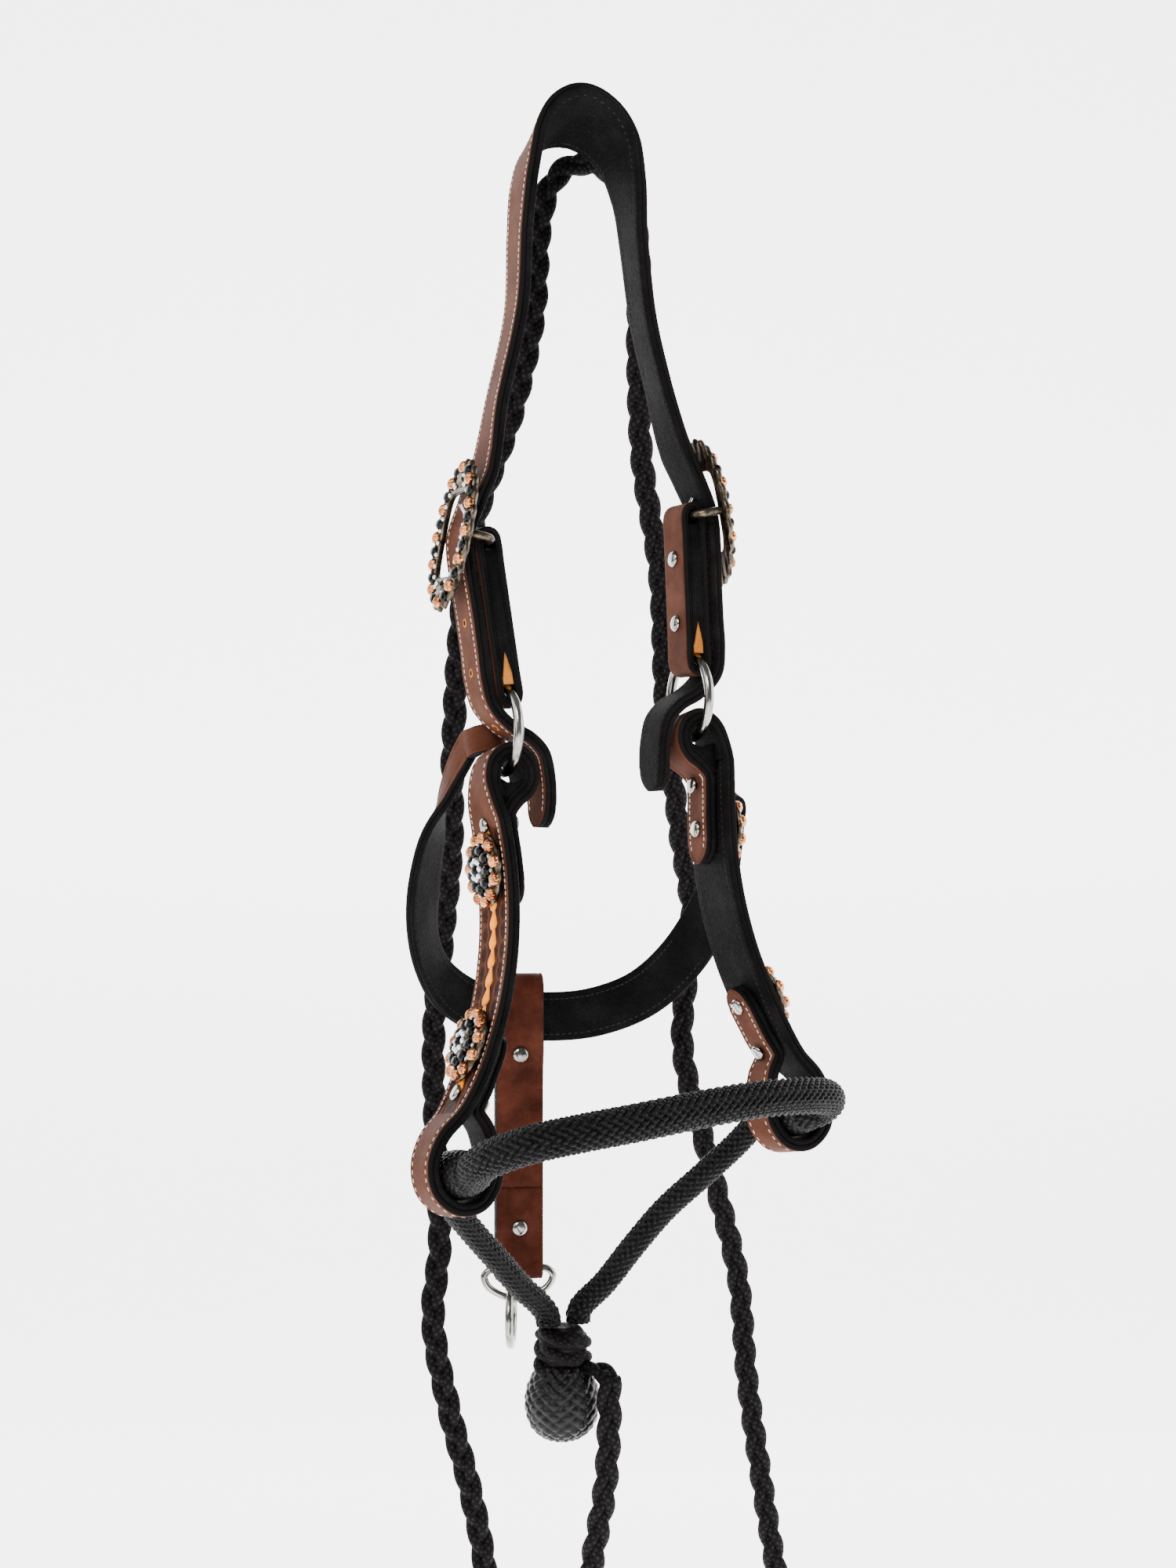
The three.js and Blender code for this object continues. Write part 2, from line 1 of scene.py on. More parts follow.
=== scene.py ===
# %% [markdown]
# # A leather rope halter, built around its CAD frame
# The halter hangs from its crown strap. The CAD frame already holds every buckle, ring
# and strap at its real size, so this lesson only makes the surfaces: rounded leather
# with real stitches, plaited ropes, cast buckles set with stones. Every shape is worked
# out in millimetres, because harness is measured so, and turned into metres at the end.

# %% Load the frame and remember its box
import math
import bmesh
import bpy
import numpy as np
from mathutils import Matrix, Vector


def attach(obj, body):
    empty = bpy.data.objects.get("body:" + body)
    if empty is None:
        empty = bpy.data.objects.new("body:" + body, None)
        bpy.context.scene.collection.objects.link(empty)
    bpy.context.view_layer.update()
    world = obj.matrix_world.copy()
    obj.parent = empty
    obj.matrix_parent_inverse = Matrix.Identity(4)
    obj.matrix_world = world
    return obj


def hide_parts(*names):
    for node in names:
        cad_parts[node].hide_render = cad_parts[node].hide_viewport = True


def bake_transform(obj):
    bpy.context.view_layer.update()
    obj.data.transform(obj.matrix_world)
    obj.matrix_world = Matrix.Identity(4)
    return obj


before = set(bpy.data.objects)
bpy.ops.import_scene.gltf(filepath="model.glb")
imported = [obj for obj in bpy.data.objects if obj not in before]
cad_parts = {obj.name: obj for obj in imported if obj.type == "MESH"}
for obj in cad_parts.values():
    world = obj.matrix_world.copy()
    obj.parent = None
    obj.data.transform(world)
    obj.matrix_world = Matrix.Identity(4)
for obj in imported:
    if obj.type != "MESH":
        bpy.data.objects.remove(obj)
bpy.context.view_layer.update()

# %% [markdown]
# ## The camera
# A portrait lens from a little over a metre away, level with the middle of the halter,
# and turned so that the left cheek shows its tooled face and the right cheek its lining.
# It comes first because the lead rope's flat plait is turned to face it.

# %% Camera
view_turn = math.radians(-25)
camera_data = bpy.data.cameras.new("camera")
camera_data.lens = 51.75
camera_data.sensor_width = 36
camera = bpy.data.objects.new("camera", camera_data)
camera.location = (-0.4780, -1.0460, -0.3392)
camera.rotation_euler = (math.radians(90), 0, view_turn)
bpy.context.scene.collection.objects.link(camera)
bpy.context.scene.camera = camera
to_camera = np.array([math.sin(view_turn), -math.cos(view_turn), 0.0])
print("camera", round(camera_data.lens, 1), "mm at", tuple(round(c, 2) for c in camera.location))

# %% [markdown]
# ## Curves
# A strap or a rope follows a few listed points. A centripetal Catmull-Rom curve
# passes through all of them without the overshoot that a plain spline gives on uneven
# points. Working it out with numpy, and not with a Blender curve object, gives us the
# direction at every step, which stitches, lace and plaits all need.

# %% Smooth lines through points
def unit(v):
    return v / np.maximum(np.linalg.norm(v, axis=-1, keepdims=True), 1e-12)


def dot(a, b):
    return (a * b).sum(-1, keepdims=True)


def catmull(points, u, closed=False):
    p = np.asarray(points, float)
    if p.ndim == 1:
        p = p[:, None]
    n = len(p)
    x = np.clip(np.asarray(u, float), 0, 1) * (n if closed else n - 1)
    i = np.floor(x).astype(int)
    if closed:
        i, w = i % n, (x - np.floor(x))[:, None]
        p0, p1, p2, p3 = (p[(i + k) % n] for k in (-1, 0, 1, 2))
    else:
        i = np.minimum(i, n - 2)
        w = (x - i)[:, None]
        padded = np.vstack([2 * p[0] - p[1], p, 2 * p[-1] - p[-2]])
        p0, p1, p2, p3 = (padded[i + k] for k in (0, 1, 2, 3))
    step = lambda a, b: np.linalg.norm(b - a, axis=1, keepdims=True) ** 0.5
    d0, d1, d2 = step(p0, p1), step(p1, p2), step(p2, p3)
    d1 = np.where(d1 < 1e-4, 1, d1)
    d0 = np.where(d0 < 1e-4, d1, d0)
    d2 = np.where(d2 < 1e-4, d1, d2)
    t1 = ((p1 - p0) / d0 - (p2 - p0) / (d0 + d1) + (p2 - p1) / d1) * d1
    t2 = ((p2 - p1) / d1 - (p3 - p1) / (d1 + d2) + (p3 - p2) / d2) * d1
    return (p1 + t1 * w + (3 * (p2 - p1) - 2 * t1 - t2) * w**2
            + (2 * (p1 - p2) + t1 + t2) * w**3)


def arc_length(points):
    steps = np.linalg.norm(np.diff(points, axis=0), axis=1)
    return np.concatenate([[0], np.cumsum(steps)])


def even_line(points, step):
    dense = catmull(points, np.linspace(0, 1, 60 * len(points)))
    s = arc_length(dense)
    at = np.linspace(0, s[-1], int(s[-1] / step) + 1)
    return np.stack([np.interp(at, s, dense[:, k]) for k in range(3)], axis=1)


def directions(points, closed=False):
    if closed:
        return unit(np.roll(points, -1, axis=0) - np.roll(points, 1, axis=0))
    return unit(np.gradient(points, axis=0))


print("a test curve is", round(arc_length(even_line([(0, 0, 0), (10, 0, 0), (20, 5, 0)], 1))[-1], 2))

# %% [markdown]
# ## From numbers to pieces
# Every piece is a mesh made from arrays of corners. The helper below turns millimetres
# into metres, mirrors a piece where the other side needs it, lays a UV map in metres
# along the strap, rides the piece on its body and hides the CAD nodes it stands for.

# %% Making a piece
def matrix(shift=(0, 0, 0), turn=None, flip=1):
    m = np.eye(4)
    if turn is not None:
        axis, angle = turn
        m[:3, :3] = np.array(Matrix.Rotation(angle, 3, axis))
    m[:3, 3] = shift
    return m @ np.diag([flip, 1, 1, 1])


def moved(points, m):
    return np.asarray(points) @ m[:3, :3].T + m[:3, 3]


def merged(parts):
    verts, faces, uvs, count = [], [], [], 0
    for v, f, uv in parts:
        verts.append(v)
        uvs.append(uv)
        faces.extend([tuple(i + count for i in face) for face in f])
        count += len(v)
    return np.vstack(verts), faces, np.vstack(uvs)


def piece(name, shape, finish, body, nodes=(), place=None, smooth=True, dye_and_shade=None):
    verts, faces, uv = shape
    if place is not None:
        verts = moved(verts, place)
        if np.linalg.det(place[:3, :3]) < 0:
            faces = [tuple(reversed(f)) for f in faces]
    mesh = bpy.data.meshes.new(name)
    mesh.from_pydata((verts * 0.001).tolist(), [], faces)
    layer = mesh.uv_layers.new(name="strap")
    loops = np.empty(len(mesh.loops), int)
    mesh.loops.foreach_get("vertex_index", loops)
    layer.data.foreach_set("uv", (uv[loops, :2] * 0.001).astype(np.float32).ravel())
    # The mark stored on the mesh holds the edge paint; on the cheeks it also holds painted shade under the
    # lace.
    if dye_and_shade is None and uv.shape[1] == 3:
        dye_and_shade = uv[:, 2]
    if dye_and_shade is not None:
        mark = mesh.attributes.new("dye_and_shade", "FLOAT", "POINT")
        mark.data.foreach_set("value", dye_and_shade.astype(np.float32))
    mesh.polygons.foreach_set("use_smooth", [smooth] * len(mesh.polygons))
    mesh.materials.append(finish)
    mesh.validate()
    obj = bpy.data.objects.new(name, mesh)
    bpy.context.scene.collection.objects.link(obj)
    if body:
        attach(obj, body)
    if nodes:
        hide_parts(*nodes)
    return obj


print("pieces are made in millimetres and stored in metres")

# %% [markdown]
# ## Sweeping a section along a line
# A rope strand, a ring and a wire staple are all one outline carried along a line. The
# outline may change at every step, which is how a plait gets its relief.

# %% Sweeps and lathes
def sweep(line, up, section, closed=False):
    along = directions(line, closed)
    side = unit(np.cross(along, up))
    top = np.cross(side, along)
    section = np.asarray(section, float)
    if section.ndim == 2:
        section = np.broadcast_to(section, (len(line), *section.shape))
    rows, ring = section.shape[:2]
    verts = (line[:, None] + side[:, None] * section[..., :1] + top[:, None] * section[..., 1:])
    faces = grid_faces(rows, ring, closed)
    if not closed:
        faces += end_caps(rows, ring)
    s = arc_length(line)
    round_it = np.linspace(0, 1, ring, endpoint=False)
    uv = np.stack(np.broadcast_arrays(s[:, None], round_it[None] * 1000), -1)
    return verts.reshape(-1, 3), faces, uv.reshape(-1, 2)


def grid_faces(rows, ring, closed=False):
    i = np.arange(rows if closed else rows - 1)[:, None]
    j = np.arange(ring)[None]
    k, nxt = (j + 1) % ring, (i + 1) % rows
    quads = np.stack([i * ring + j, i * ring + k, nxt * ring + k, nxt * ring + j], -1)
    return [tuple(q) for q in quads.reshape(-1, 4).tolist()]


def end_caps(rows, ring):
    return [tuple(range(ring))[::-1], tuple((rows - 1) * ring + j for j in range(ring))]


def circle(radius, sides, flat=1.0):
    a = np.linspace(0, 2 * math.pi, sides, endpoint=False)
    return np.stack([radius * np.cos(a), radius * flat * np.sin(a)], -1)


def steady_up(line, guide):
    """An up direction for every point, square to the line and turning smoothly from guide."""
    along = directions(line)
    ups = np.empty_like(line)
    up = np.array(guide, float)
    for i, t in enumerate(along):
        up = unit(up - t * (up @ t))
        ups[i] = up
    return ups


def lathe(profile, segments, relief=None):
    """Profile is [radius, height] from end to end, turned about Z."""
    profile = np.asarray(profile, float)
    a = np.linspace(0, 2 * math.pi, segments, endpoint=False)
    slope = unit(np.gradient(profile, axis=0))
    r = profile[:, :1] + np.zeros(segments)
    z = profile[:, 1:] + np.zeros(segments)
    if relief is not None:
        lift = relief(arc_length(profile)[:, None], (a / (2 * math.pi))[None])
        fade = np.clip(profile[:, :1] / 4, 0, 1)
        r = r + lift * fade * slope[:, 1:]
        z = z - lift * fade * slope[:, :1]
    r = np.maximum(r, 1e-3)
    verts = np.stack([r * np.cos(a), r * np.sin(a), z], -1).reshape(-1, 3)
    rows = len(profile)
    faces = grid_faces(rows, segments) + end_caps(rows, segments)
    s = arc_length(profile)
    uv = np.stack(np.broadcast_arrays(s[:, None], (a / (2 * math.pi) * 1000)[None]), -1)
    return verts, faces, uv.reshape(-1, 2)


def fine_profile(profile, per=8):
    return catmull(profile, np.linspace(0, 1, per * (len(profile) - 1) + 1))


print("a circle of", len(circle(1, 12)), "corners is ready to sweep")

# %% [markdown]
# ## Straps
# Harness straps here are two layers: a padded black lining whose edges roll outward, and
# a flat brown face sewn on top. A strap is a list of stops: x, y, z, half its width and,
# where it twists, the direction across it. The edges are rounded by a radius, and a
# relief function may press tooling and stitch channels into the face.

# %% Strap frames and layers
class Run:
    """The line of a strap with its directions at every step."""

    def __init__(self, stops, per=8, closed=False, tips=None):
        self.closed = closed
        spans = len(stops) - (0 if closed else 1)
        u = np.arange(spans * per + (0 if closed else 1)) / (spans * per)
        xyz = [s[:3] for s in stops]
        self.p = catmull(xyz, u, closed)
        self.t = directions(self.p, closed)
        self.h = catmull([s[3] for s in stops], u, closed)[:, 0]
        w = catmull([s[4] if len(s) > 4 else (0, 1, 0) for s in stops], u, closed)
        self.w = unit(w - self.t * dot(w, self.t))
        self.n = np.cross(self.t, self.w)
        self.s = arc_length(self.p)
        if tips:
            near = np.minimum(self.s, self.s[-1] - self.s)
            bend = np.sqrt(1 - (1 - np.clip(near / tips, 0, 1)) ** 2)
            self.h = np.where(near < tips, tips, self.h) * np.maximum(bend, 0.25)

    def at(self, s, a, b):
        """Points at arc length s, a across and b off the line."""
        pick = lambda v: np.stack([np.interp(s, self.s, v[:, k]) for k in range(3)], -1)
        a, b = np.asarray(a, float)[..., None], np.asarray(b, float)[..., None]
        return pick(self.p) + pick(self.w) * a + pick(self.n) * b

    def along(self, s, name):
        v = getattr(self, name)
        return np.stack([np.interp(s, self.s, v[:, k]) for k in range(3)], -1)

    def half(self, s):
        return np.interp(s, self.s, self.h)


def layer(run, low, high, inset=0.0, edge=0.8, inner=16, relief=None):
    edge = min(edge, (high - low) / 2 - 0.01)
    turn = np.linspace(0, math.pi / 2, 5)
    inward = edge * (1 - np.cos(turn))
    sink = edge * (1 - np.sin(turn))
    width = run.h - inset
    q = np.linspace(-1, 1, inner)[1:-1]
    flat = (width[:, None] - edge) * q[None]
    left = -width[:, None] + inward[None]
    a_top = np.hstack([left, flat, -left[:, ::-1]])
    drop = np.concatenate([sink, np.zeros(len(q)), sink[::-1]])
    b_top = high - drop[None] + np.zeros_like(a_top)
    if relief is not None:
        b_top = b_top + relief(run.s[:, None], a_top, width[:, None])
    a_low = np.hstack([-left, left[:, ::-1]])
    b_low = low + np.concatenate([sink, sink[::-1]])[None] + np.zeros_like(a_low)
    a, b = np.hstack([a_top, a_low]), np.hstack([b_top, b_low])
    verts = run.p[:, None] + run.w[:, None] * a[..., None] + run.n[:, None] * b[..., None]
    rows, ring = a.shape
    caps = [] if run.closed else end_caps(rows, ring)
    faces = [f[::-1] for f in grid_faces(rows, ring, run.closed) + caps]
    painted = np.zeros(ring)
    painted[:3], painted[a_top.shape[1] - 3:] = 1, 1
    uv = np.stack([run.s[:, None] + np.zeros_like(a), a, painted[None] + np.zeros_like(a)], -1)
    return verts.reshape(-1, 3), faces, uv.reshape(-1, 3)


def channel(margin, depth=0.35):
    """A pressed line where the stitches lie, for both edges."""
    return lambda s, a, h: -depth * np.exp(-(((np.abs(a) - (h - margin)) / 0.7) ** 2))


print("a plain strap section has", 5 + 14 + 5 + 2 * 5, "corners")

# %% [markdown]
# ## Finishes
# Each finish is a small node tree. A broad noise varies the colour, a fine one makes the
# grain, and a bump node turns it into relief. Brown leather also reads a dark mark on the
# mesh, which is strong along the painted edges and where a tool has pressed the face; down
# the cheek lace the same mark is painted shade.

# %% Node helpers
def new_material(name, rough, metal=0.0, **sockets):
    m = bpy.data.materials.new(name)
    m.use_nodes = True
    shader = m.node_tree.nodes["Principled BSDF"]
    shader.inputs["Roughness"].default_value = rough
    shader.inputs["Metallic"].default_value = metal
    for socket, value in sockets.items():
        shader.inputs[socket.replace("_", " ")].default_value = value
    return m, m.node_tree, shader


def node(tree, kind, links=(), **values):
    n = tree.nodes.new(kind)
    for key, value in values.items():
        if key in ("operation", "attribute_name"):
            setattr(n, key, value)
        else:
            n.inputs[key.replace("_", " ")].default_value = value
    for socket, source in links:
        tree.links.new(source, n.inputs[socket])
    return n


def ramp(tree, factor, stops):
    n = tree.nodes.new("ShaderNodeValToRGB")
    while len(n.color_ramp.elements) < len(stops):
        n.color_ramp.elements.new(0.5)
    for element, (place, colour) in zip(n.color_ramp.elements, stops):
        element.position, element.color = place, (*colour, 1)
    tree.links.new(factor, n.inputs["Fac"])
    return n.outputs["Color"]


def base_ramp(tree, shader, factor, stops):
    tree.links.new(ramp(tree, factor, stops), shader.inputs["Base Color"])


def place_of(tree, uv=False):
    n = tree.nodes.new("ShaderNodeTexCoord")
    return n.outputs["UV" if uv else "Object"]


def bump(tree, shader, height, strength, distance):
    n = node(tree, "ShaderNodeBump", [("Height", height)], Strength=strength, Distance=distance)
    tree.links.new(n.outputs["Normal"], shader.inputs["Normal"])


def vary_roughness(tree, shader, factor, low, high):
    n = tree.nodes.new("ShaderNodeMapRange")
    tree.links.new(factor, n.inputs["Value"])
    n.inputs["To Min"].default_value, n.inputs["To Max"].default_value = low, high
    tree.links.new(n.outputs["Result"], shader.inputs["Roughness"])


def leather(name, dark, mid, light, rough=(0.42, 0.6), grain=0.35, patch=55, crease=0.0, dye_and_shade=None,
            shine=0.012):
    m, tree, shader = new_material(name, rough[0], Specular_IOR_Level=shine)
    at = place_of(tree)
    broad = node(tree, "ShaderNodeTexNoise", [("Vector", at)], Scale=patch, Detail=6, Roughness=0.6)
    colour = ramp(tree, broad.outputs["Fac"], [(0.3, dark), (0.5, mid), (0.72, light)])
    # Where the mesh mark is strong, the dark colour replaces the leather tone: real edge paint and tooling,
    # and on the cheeks painted shade under the lace.
    if dye_and_shade:
        mark = node(tree, "ShaderNodeAttribute", attribute_name="dye_and_shade")
        mix = tree.nodes.new("ShaderNodeMixRGB")
        mix.inputs["Color2"].default_value = (*dye_and_shade, 1)
        tree.links.new(colour, mix.inputs["Color1"])
        tree.links.new(mark.outputs["Fac"], mix.inputs["Fac"])
        colour = mix.outputs["Color"]
    tree.links.new(colour, shader.inputs["Base Color"])
    pores = node(tree, "ShaderNodeTexVoronoi", [("Vector", at)], Scale=1500)
    fine = node(tree, "ShaderNodeTexNoise", [("Vector", at)], Scale=700, Detail=5)
    folds = node(tree, "ShaderNodeTexNoise", [("Vector", at)], Scale=120, Detail=4, Distortion=2.2)
    grains = node(tree, "ShaderNodeMath", [(0, pores.outputs["Distance"]), (1, fine.outputs["Fac"])],
                  operation="ADD")
    weighed = node(tree, "ShaderNodeMath", [(0, folds.outputs["Fac"])], operation="MULTIPLY")
    weighed.inputs[1].default_value = crease
    height = node(tree, "ShaderNodeMath", [(0, grains.outputs[0]), (1, weighed.outputs[0])],
                  operation="ADD")
    vary_roughness(tree, shader, fine.outputs["Fac"], *rough)
    bump(tree, shader, height.outputs[0], grain, 0.0004)
    return m


def metal(name, dark, light, rough, tarnish=90, depth=0.05):
    m, tree, shader = new_material(name, rough[0], metal=1.0)
    at = place_of(tree)
    cloud = node(tree, "ShaderNodeTexNoise", [("Vector", at)], Scale=tarnish, Detail=6)
    base_ramp(tree, shader, cloud.outputs["Fac"], [(0.35, dark), (0.6, light)])
    scuffs = node(tree, "ShaderNodeTexNoise", [("Vector", at)], Scale=900, Detail=3)
    vary_roughness(tree, shader, scuffs.outputs["Fac"], *rough)
    bump(tree, shader, scuffs.outputs["Fac"], depth, 0.0003)
    return m


def woven_nylon(name, dark, light, rough, ribs=900, shine=0.05):
    """Fine plaited yarn: two slanted sets of ridges crossing on the strand's own UV map."""
    m, tree, shader = new_material(name, rough[0], Specular_IOR_Level=shine)
    at = place_of(tree, uv=True)
    heights = []
    for turn in (0.9, -0.9):
        spun = tree.nodes.new("ShaderNodeMapping")
        spun.inputs["Rotation"].default_value = (0, 0, turn)
        spun.inputs["Scale"].default_value = (1, 0.012, 1)
        tree.links.new(at, spun.inputs["Vector"])
        wave = node(tree, "ShaderNodeTexWave", [("Vector", spun.outputs[0])], Scale=ribs / 6.28,
                    Distortion=0.4, Detail=1)
        heights.append(wave.outputs["Fac"])
    rib_height_and_shade = node(tree, "ShaderNodeMath", list(enumerate(heights)), operation="MULTIPLY")
    # Colour follows the rib height: the dark in the grooves is painted shade and the light on the crests is
    # painted light.
    base_ramp(tree, shader, rib_height_and_shade.outputs[0], [(0.0, dark), (0.9, light)])
    vary_roughness(tree, shader, rib_height_and_shade.outputs[0], rough[1], rough[0])
    bump(tree, shader, rib_height_and_shade.outputs[0], 0.5, 0.0004)
    return m


print("leather, metal and yarn recipes are ready")

# %% The finishes of this halter
# Black edge paint; on the cheeks the same colour also paints shade in the lane under the lace.
EDGE_PAINT_AND_SHADE = (0.006, 0.005, 0.005)
brown = leather("brown_leather", (0.044, 0.0145, 0.0078), (0.062, 0.0215, 0.0125), (0.084, 0.032, 0.019),
                dye_and_shade=EDGE_PAINT_AND_SHADE)
black_pad = leather("black_padded_lining", (0.003, 0.0028, 0.0028), (0.0045, 0.0042, 0.0042),
                    (0.008, 0.0075, 0.0075), rough=(0.45, 0.6), grain=1.0, crease=1.8, shine=0.012)
tab_hide = leather("red_brown_tab", (0.022, 0.006, 0.0035), (0.042, 0.0115, 0.0068), (0.070, 0.022, 0.013),
                   rough=(0.3, 0.5), grain=0.4, crease=2.2, dye_and_shade=EDGE_PAINT_AND_SHADE)
raw_hide = leather("raw_cut_leather", (0.24, 0.075, 0.012), (0.36, 0.125, 0.022), (0.46, 0.18, 0.04),
                   rough=(0.7, 0.85), grain=0.7)
thread = leather("cream_thread", (0.42, 0.31, 0.24), (0.52, 0.40, 0.33), (0.60, 0.49, 0.42),
                 rough=(0.6, 0.75), grain=0.2, patch=400)
dark_thread = leather("dark_thread", (0.012, 0.011, 0.010), (0.020, 0.018, 0.017), (0.03, 0.027, 0.025),
                      rough=(0.5, 0.7), grain=0.2, patch=400)
lace = leather("orange_lace", (0.70, 0.17, 0.008), (0.86, 0.25, 0.014), (0.95, 0.33, 0.03),
               rough=(0.35, 0.5), grain=0.25, patch=200)
nickel = metal("bright_nickel", (0.17, 0.165, 0.15), (0.33, 0.32, 0.295), (0.12, 0.24))
old_silver = metal("antique_silver", (0.018, 0.014, 0.010), (0.115, 0.092, 0.066), (0.3, 0.45), tarnish=260,
                   depth=0.2)
copper = metal("copper_beads", (0.16, 0.045, 0.014), (0.66, 0.26, 0.10), (0.2, 0.34), tarnish=300,
               depth=0.1)
rope_yarn = woven_nylon("black_rope_yarn", (0.0025, 0.002, 0.002), (0.011, 0.010, 0.010), (0.5, 0.7))
plait_hide = leather("black_plaited_hide", (0.003, 0.003, 0.003), (0.005, 0.0045, 0.0045),
                     (0.009, 0.008, 0.008), rough=(0.24, 0.36), grain=0.25, shine=0.12)
rope_hide = leather("black_plaited_rope", (0.0015, 0.0012, 0.0012), (0.0025, 0.002, 0.002),
                    (0.005, 0.0045, 0.0045), rough=(0.34, 0.46), grain=0.3, shine=0.09)


def stone(name, colour, rough, coat, metallic, shine):
    m, tree, shader = new_material(name, rough, metallic, Coat_Weight=coat, Coat_Roughness=0.03,
                                   IOR=1.45, Specular_IOR_Level=shine)
    depth = node(tree, "ShaderNodeTexVoronoi", [("Vector", place_of(tree))], Scale=900)
    # Lighter spots at the Voronoi cells are painted glints, standing for sparkle in the stone.
    painted_glint = tuple(min(1, c * 1.6) for c in colour)
    base_ramp(tree, shader, depth.outputs["Distance"], [(0.1, painted_glint), (0.7, colour)])
    return m


clear_stone = stone("clear_rhinestone", (0.45, 0.47, 0.50), 0.08, coat=1.0, metallic=0.55, shine=0.5)
black_stone = stone("black_rhinestone", (0.001, 0.001, 0.0012), 0.1, coat=0.0, metallic=0.0, shine=0.12)
print(len(bpy.data.materials), "materials")

# %% [markdown]
# ## The lead rope
# The lead is three fine-woven black tubes plaited flat, about 12 mm wide, and runs from
# the heel knot down, back up behind the halter, over the hook and down on the right.
# A plait of real strands catches light on every crossing, which a bump map can't do.
# The rope crosses two joints, so it is cut into three cords: a stub between the noseband
# and the cheeks and a drop between the cheeks and the crown, both left on no body, and
# the long stretch that stays with the crown.

# %% Three-strand plait
CROSSING = 16.0


def plait_strands(line, start_phase=0.0, width=3.6, thick=1.8, strand=3.05, reference=to_camera):
    s = arc_length(line)
    along = directions(line)
    across = unit(np.cross(along, reference))
    up = np.cross(across, along)
    turn = start_phase + 2 * math.pi * s / (3 * CROSSING)
    parts = []
    for k in range(3):
        a = turn + 2 * math.pi * k / 3
        middle = line + across * (width * np.sin(a))[:, None] + up * (thick * np.sin(2 * a))[:, None]
        parts.append(sweep(middle, up, circle(strand, 12)))
    return merged(parts), turn[-1]


lead_drop = [
    (18.3, -7, -642.4), (18.6, -7, -655), (18.6, -6, -675), (18, -3, -700), (16, 3, -727), (14, 9, -755),
    (14, 13, -785), (16, 16, -820), (18, 19, -850), (16.5, 22.5, -874), (11.5, 26.3, -891),
    (4.6, 30.2, -900.2), (2, 31.8, -900.9), (-1.7, 33.9, -901)]
lead_main = [
    (-2.4, 34.3, -901), (-6, 36.4, -900.9), (-9, 38.1, -900), (-17, 42.6, -889), (-22, 47, -872),
    (-24, 52, -848), (-24, 56, -810), (-22, 60, -760), (-31, 60, -712), (-43, 60, -668),
    (-52, 60, -620), (-47, 63, -580), (-46, 72, -525), (-43, 82, -470), (-39, 80, -424),
    (-40, 64, -372), (-43, 55, -330), (-41, 50, -262), (-34, 48, -205), (-16, 38, -145),
    (-7, 31, -95), (-4, 30, -50), (1, 29, -28), (11, 28, -16.5), (24, 27.5, -13), (38, 28, -17.5),
    (48, 30, -29), (54, 31.5, -55), (55, 34, -110), (62, 43, -165), (76, 50, -225), (80, 50, -300),
    (93, 59, -366), (107, 71, -418), (101, 71, -485), (113, 61, -550), (130, 60, -614),
    (136, 60, -672), (148, 60, -746), (159, 60, -810), (163, 60, -890), (163, 60, -984)]
drop_line = even_line(lead_drop, 1.3)
stub_end = int(np.argmin(np.abs(drop_line[:, 2] + 765)))
routes = [("lead_stub", drop_line[:stub_end + 1]), ("lead_drop", drop_line[stub_end:]),
          ("lead_main", even_line(lead_main, 1.3))]
phase, cords = 0.0, {}
for name, line in routes:
    shape, phase = plait_strands(line, phase)
    cords[name] = (piece(name, shape, rope_yarn, None), line)
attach(cords["lead_main"][0], "crown")
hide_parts("lead_rope_drop")
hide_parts("lead_rope_main")
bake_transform(cords["lead_stub"][0])
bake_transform(cords["lead_drop"][0])


# %% [markdown]
# ## The end knot
# The lead's tail is finished with a tight round knot, interlaced passes over a core. A
# turned body with a basket-weave relief gives the same look for few corners.

# %% Weaves on round bodies
def weave(along, around, strands, pitch, over, depth):
    """Relief of two sets of flat strands crossing, each passing over `over` of the other."""
    p = strands * around + along / pitch
    q = strands * around - along / pitch
    top = ((np.floor(p) + np.floor(q)) % (2 * over)) < over
    fp, fq = p - np.floor(p), q - np.floor(q)
    crown = lambda f: 1 - np.abs(2 * f - 1) ** 2.6
    tuck = lambda f: 0.55 + 0.45 * np.sin(math.pi * f)
    high = crown(fp) * tuck(fq)
    low = crown(fq) * tuck(fp)
    return depth * (np.where(top, high, low) - 0.7)


def woven_turn(profile, strands, pitch, over, depth, segments, per=10):
    relief = lambda s, v: weave(s, v, strands, pitch, over, depth)
    return lathe(fine_profile(profile, per), segments, relief)


end_knot = [(0, -14), (7, -13), (10.5, -7), (11, 0), (9.5, 8), (6.5, 12.5), (0, 12.5)]
knot = piece("end_knot", woven_turn(end_knot, 5, 7.5, 1, 2.2, 120, 14), rope_yarn, "crown",
             ["rope_end_knot"], matrix((163, 60, -997)))

# %% [markdown]
# ## Stitches
# Each stitch is a short rounded bar of thread lying in its channel. Thousands of them
# are only copies of one small capsule, turned to follow the strap at each place.

# %% Stitch rows
def capsule(length, radius, flat=0.75):
    z = np.array([-0.5, -0.42, -0.25, 0, 0.25, 0.42, 0.5]) * length
    r = np.array([0.05, 0.65, 0.95, 1, 0.95, 0.65, 0.05]) * radius
    ring = circle(1, 6, flat)
    verts = np.concatenate([np.column_stack([np.full(6, a), ring * b]) for a, b in zip(z, r)])
    return verts, grid_faces(7, 6) + end_caps(7, 6)


def prism(outline, half):
    """A flat block with the given outline in x and z, and its width along y."""
    n = len(outline)
    verts = np.array([(x, y, z) for y in (-half, half) for x, z in outline])
    faces = [(i, (i + 1) % n, n + (i + 1) % n, n + i) for i in range(n)]
    faces += [tuple(range(n))[::-1], tuple(range(n, 2 * n))]
    return verts, faces, verts[:, :2]


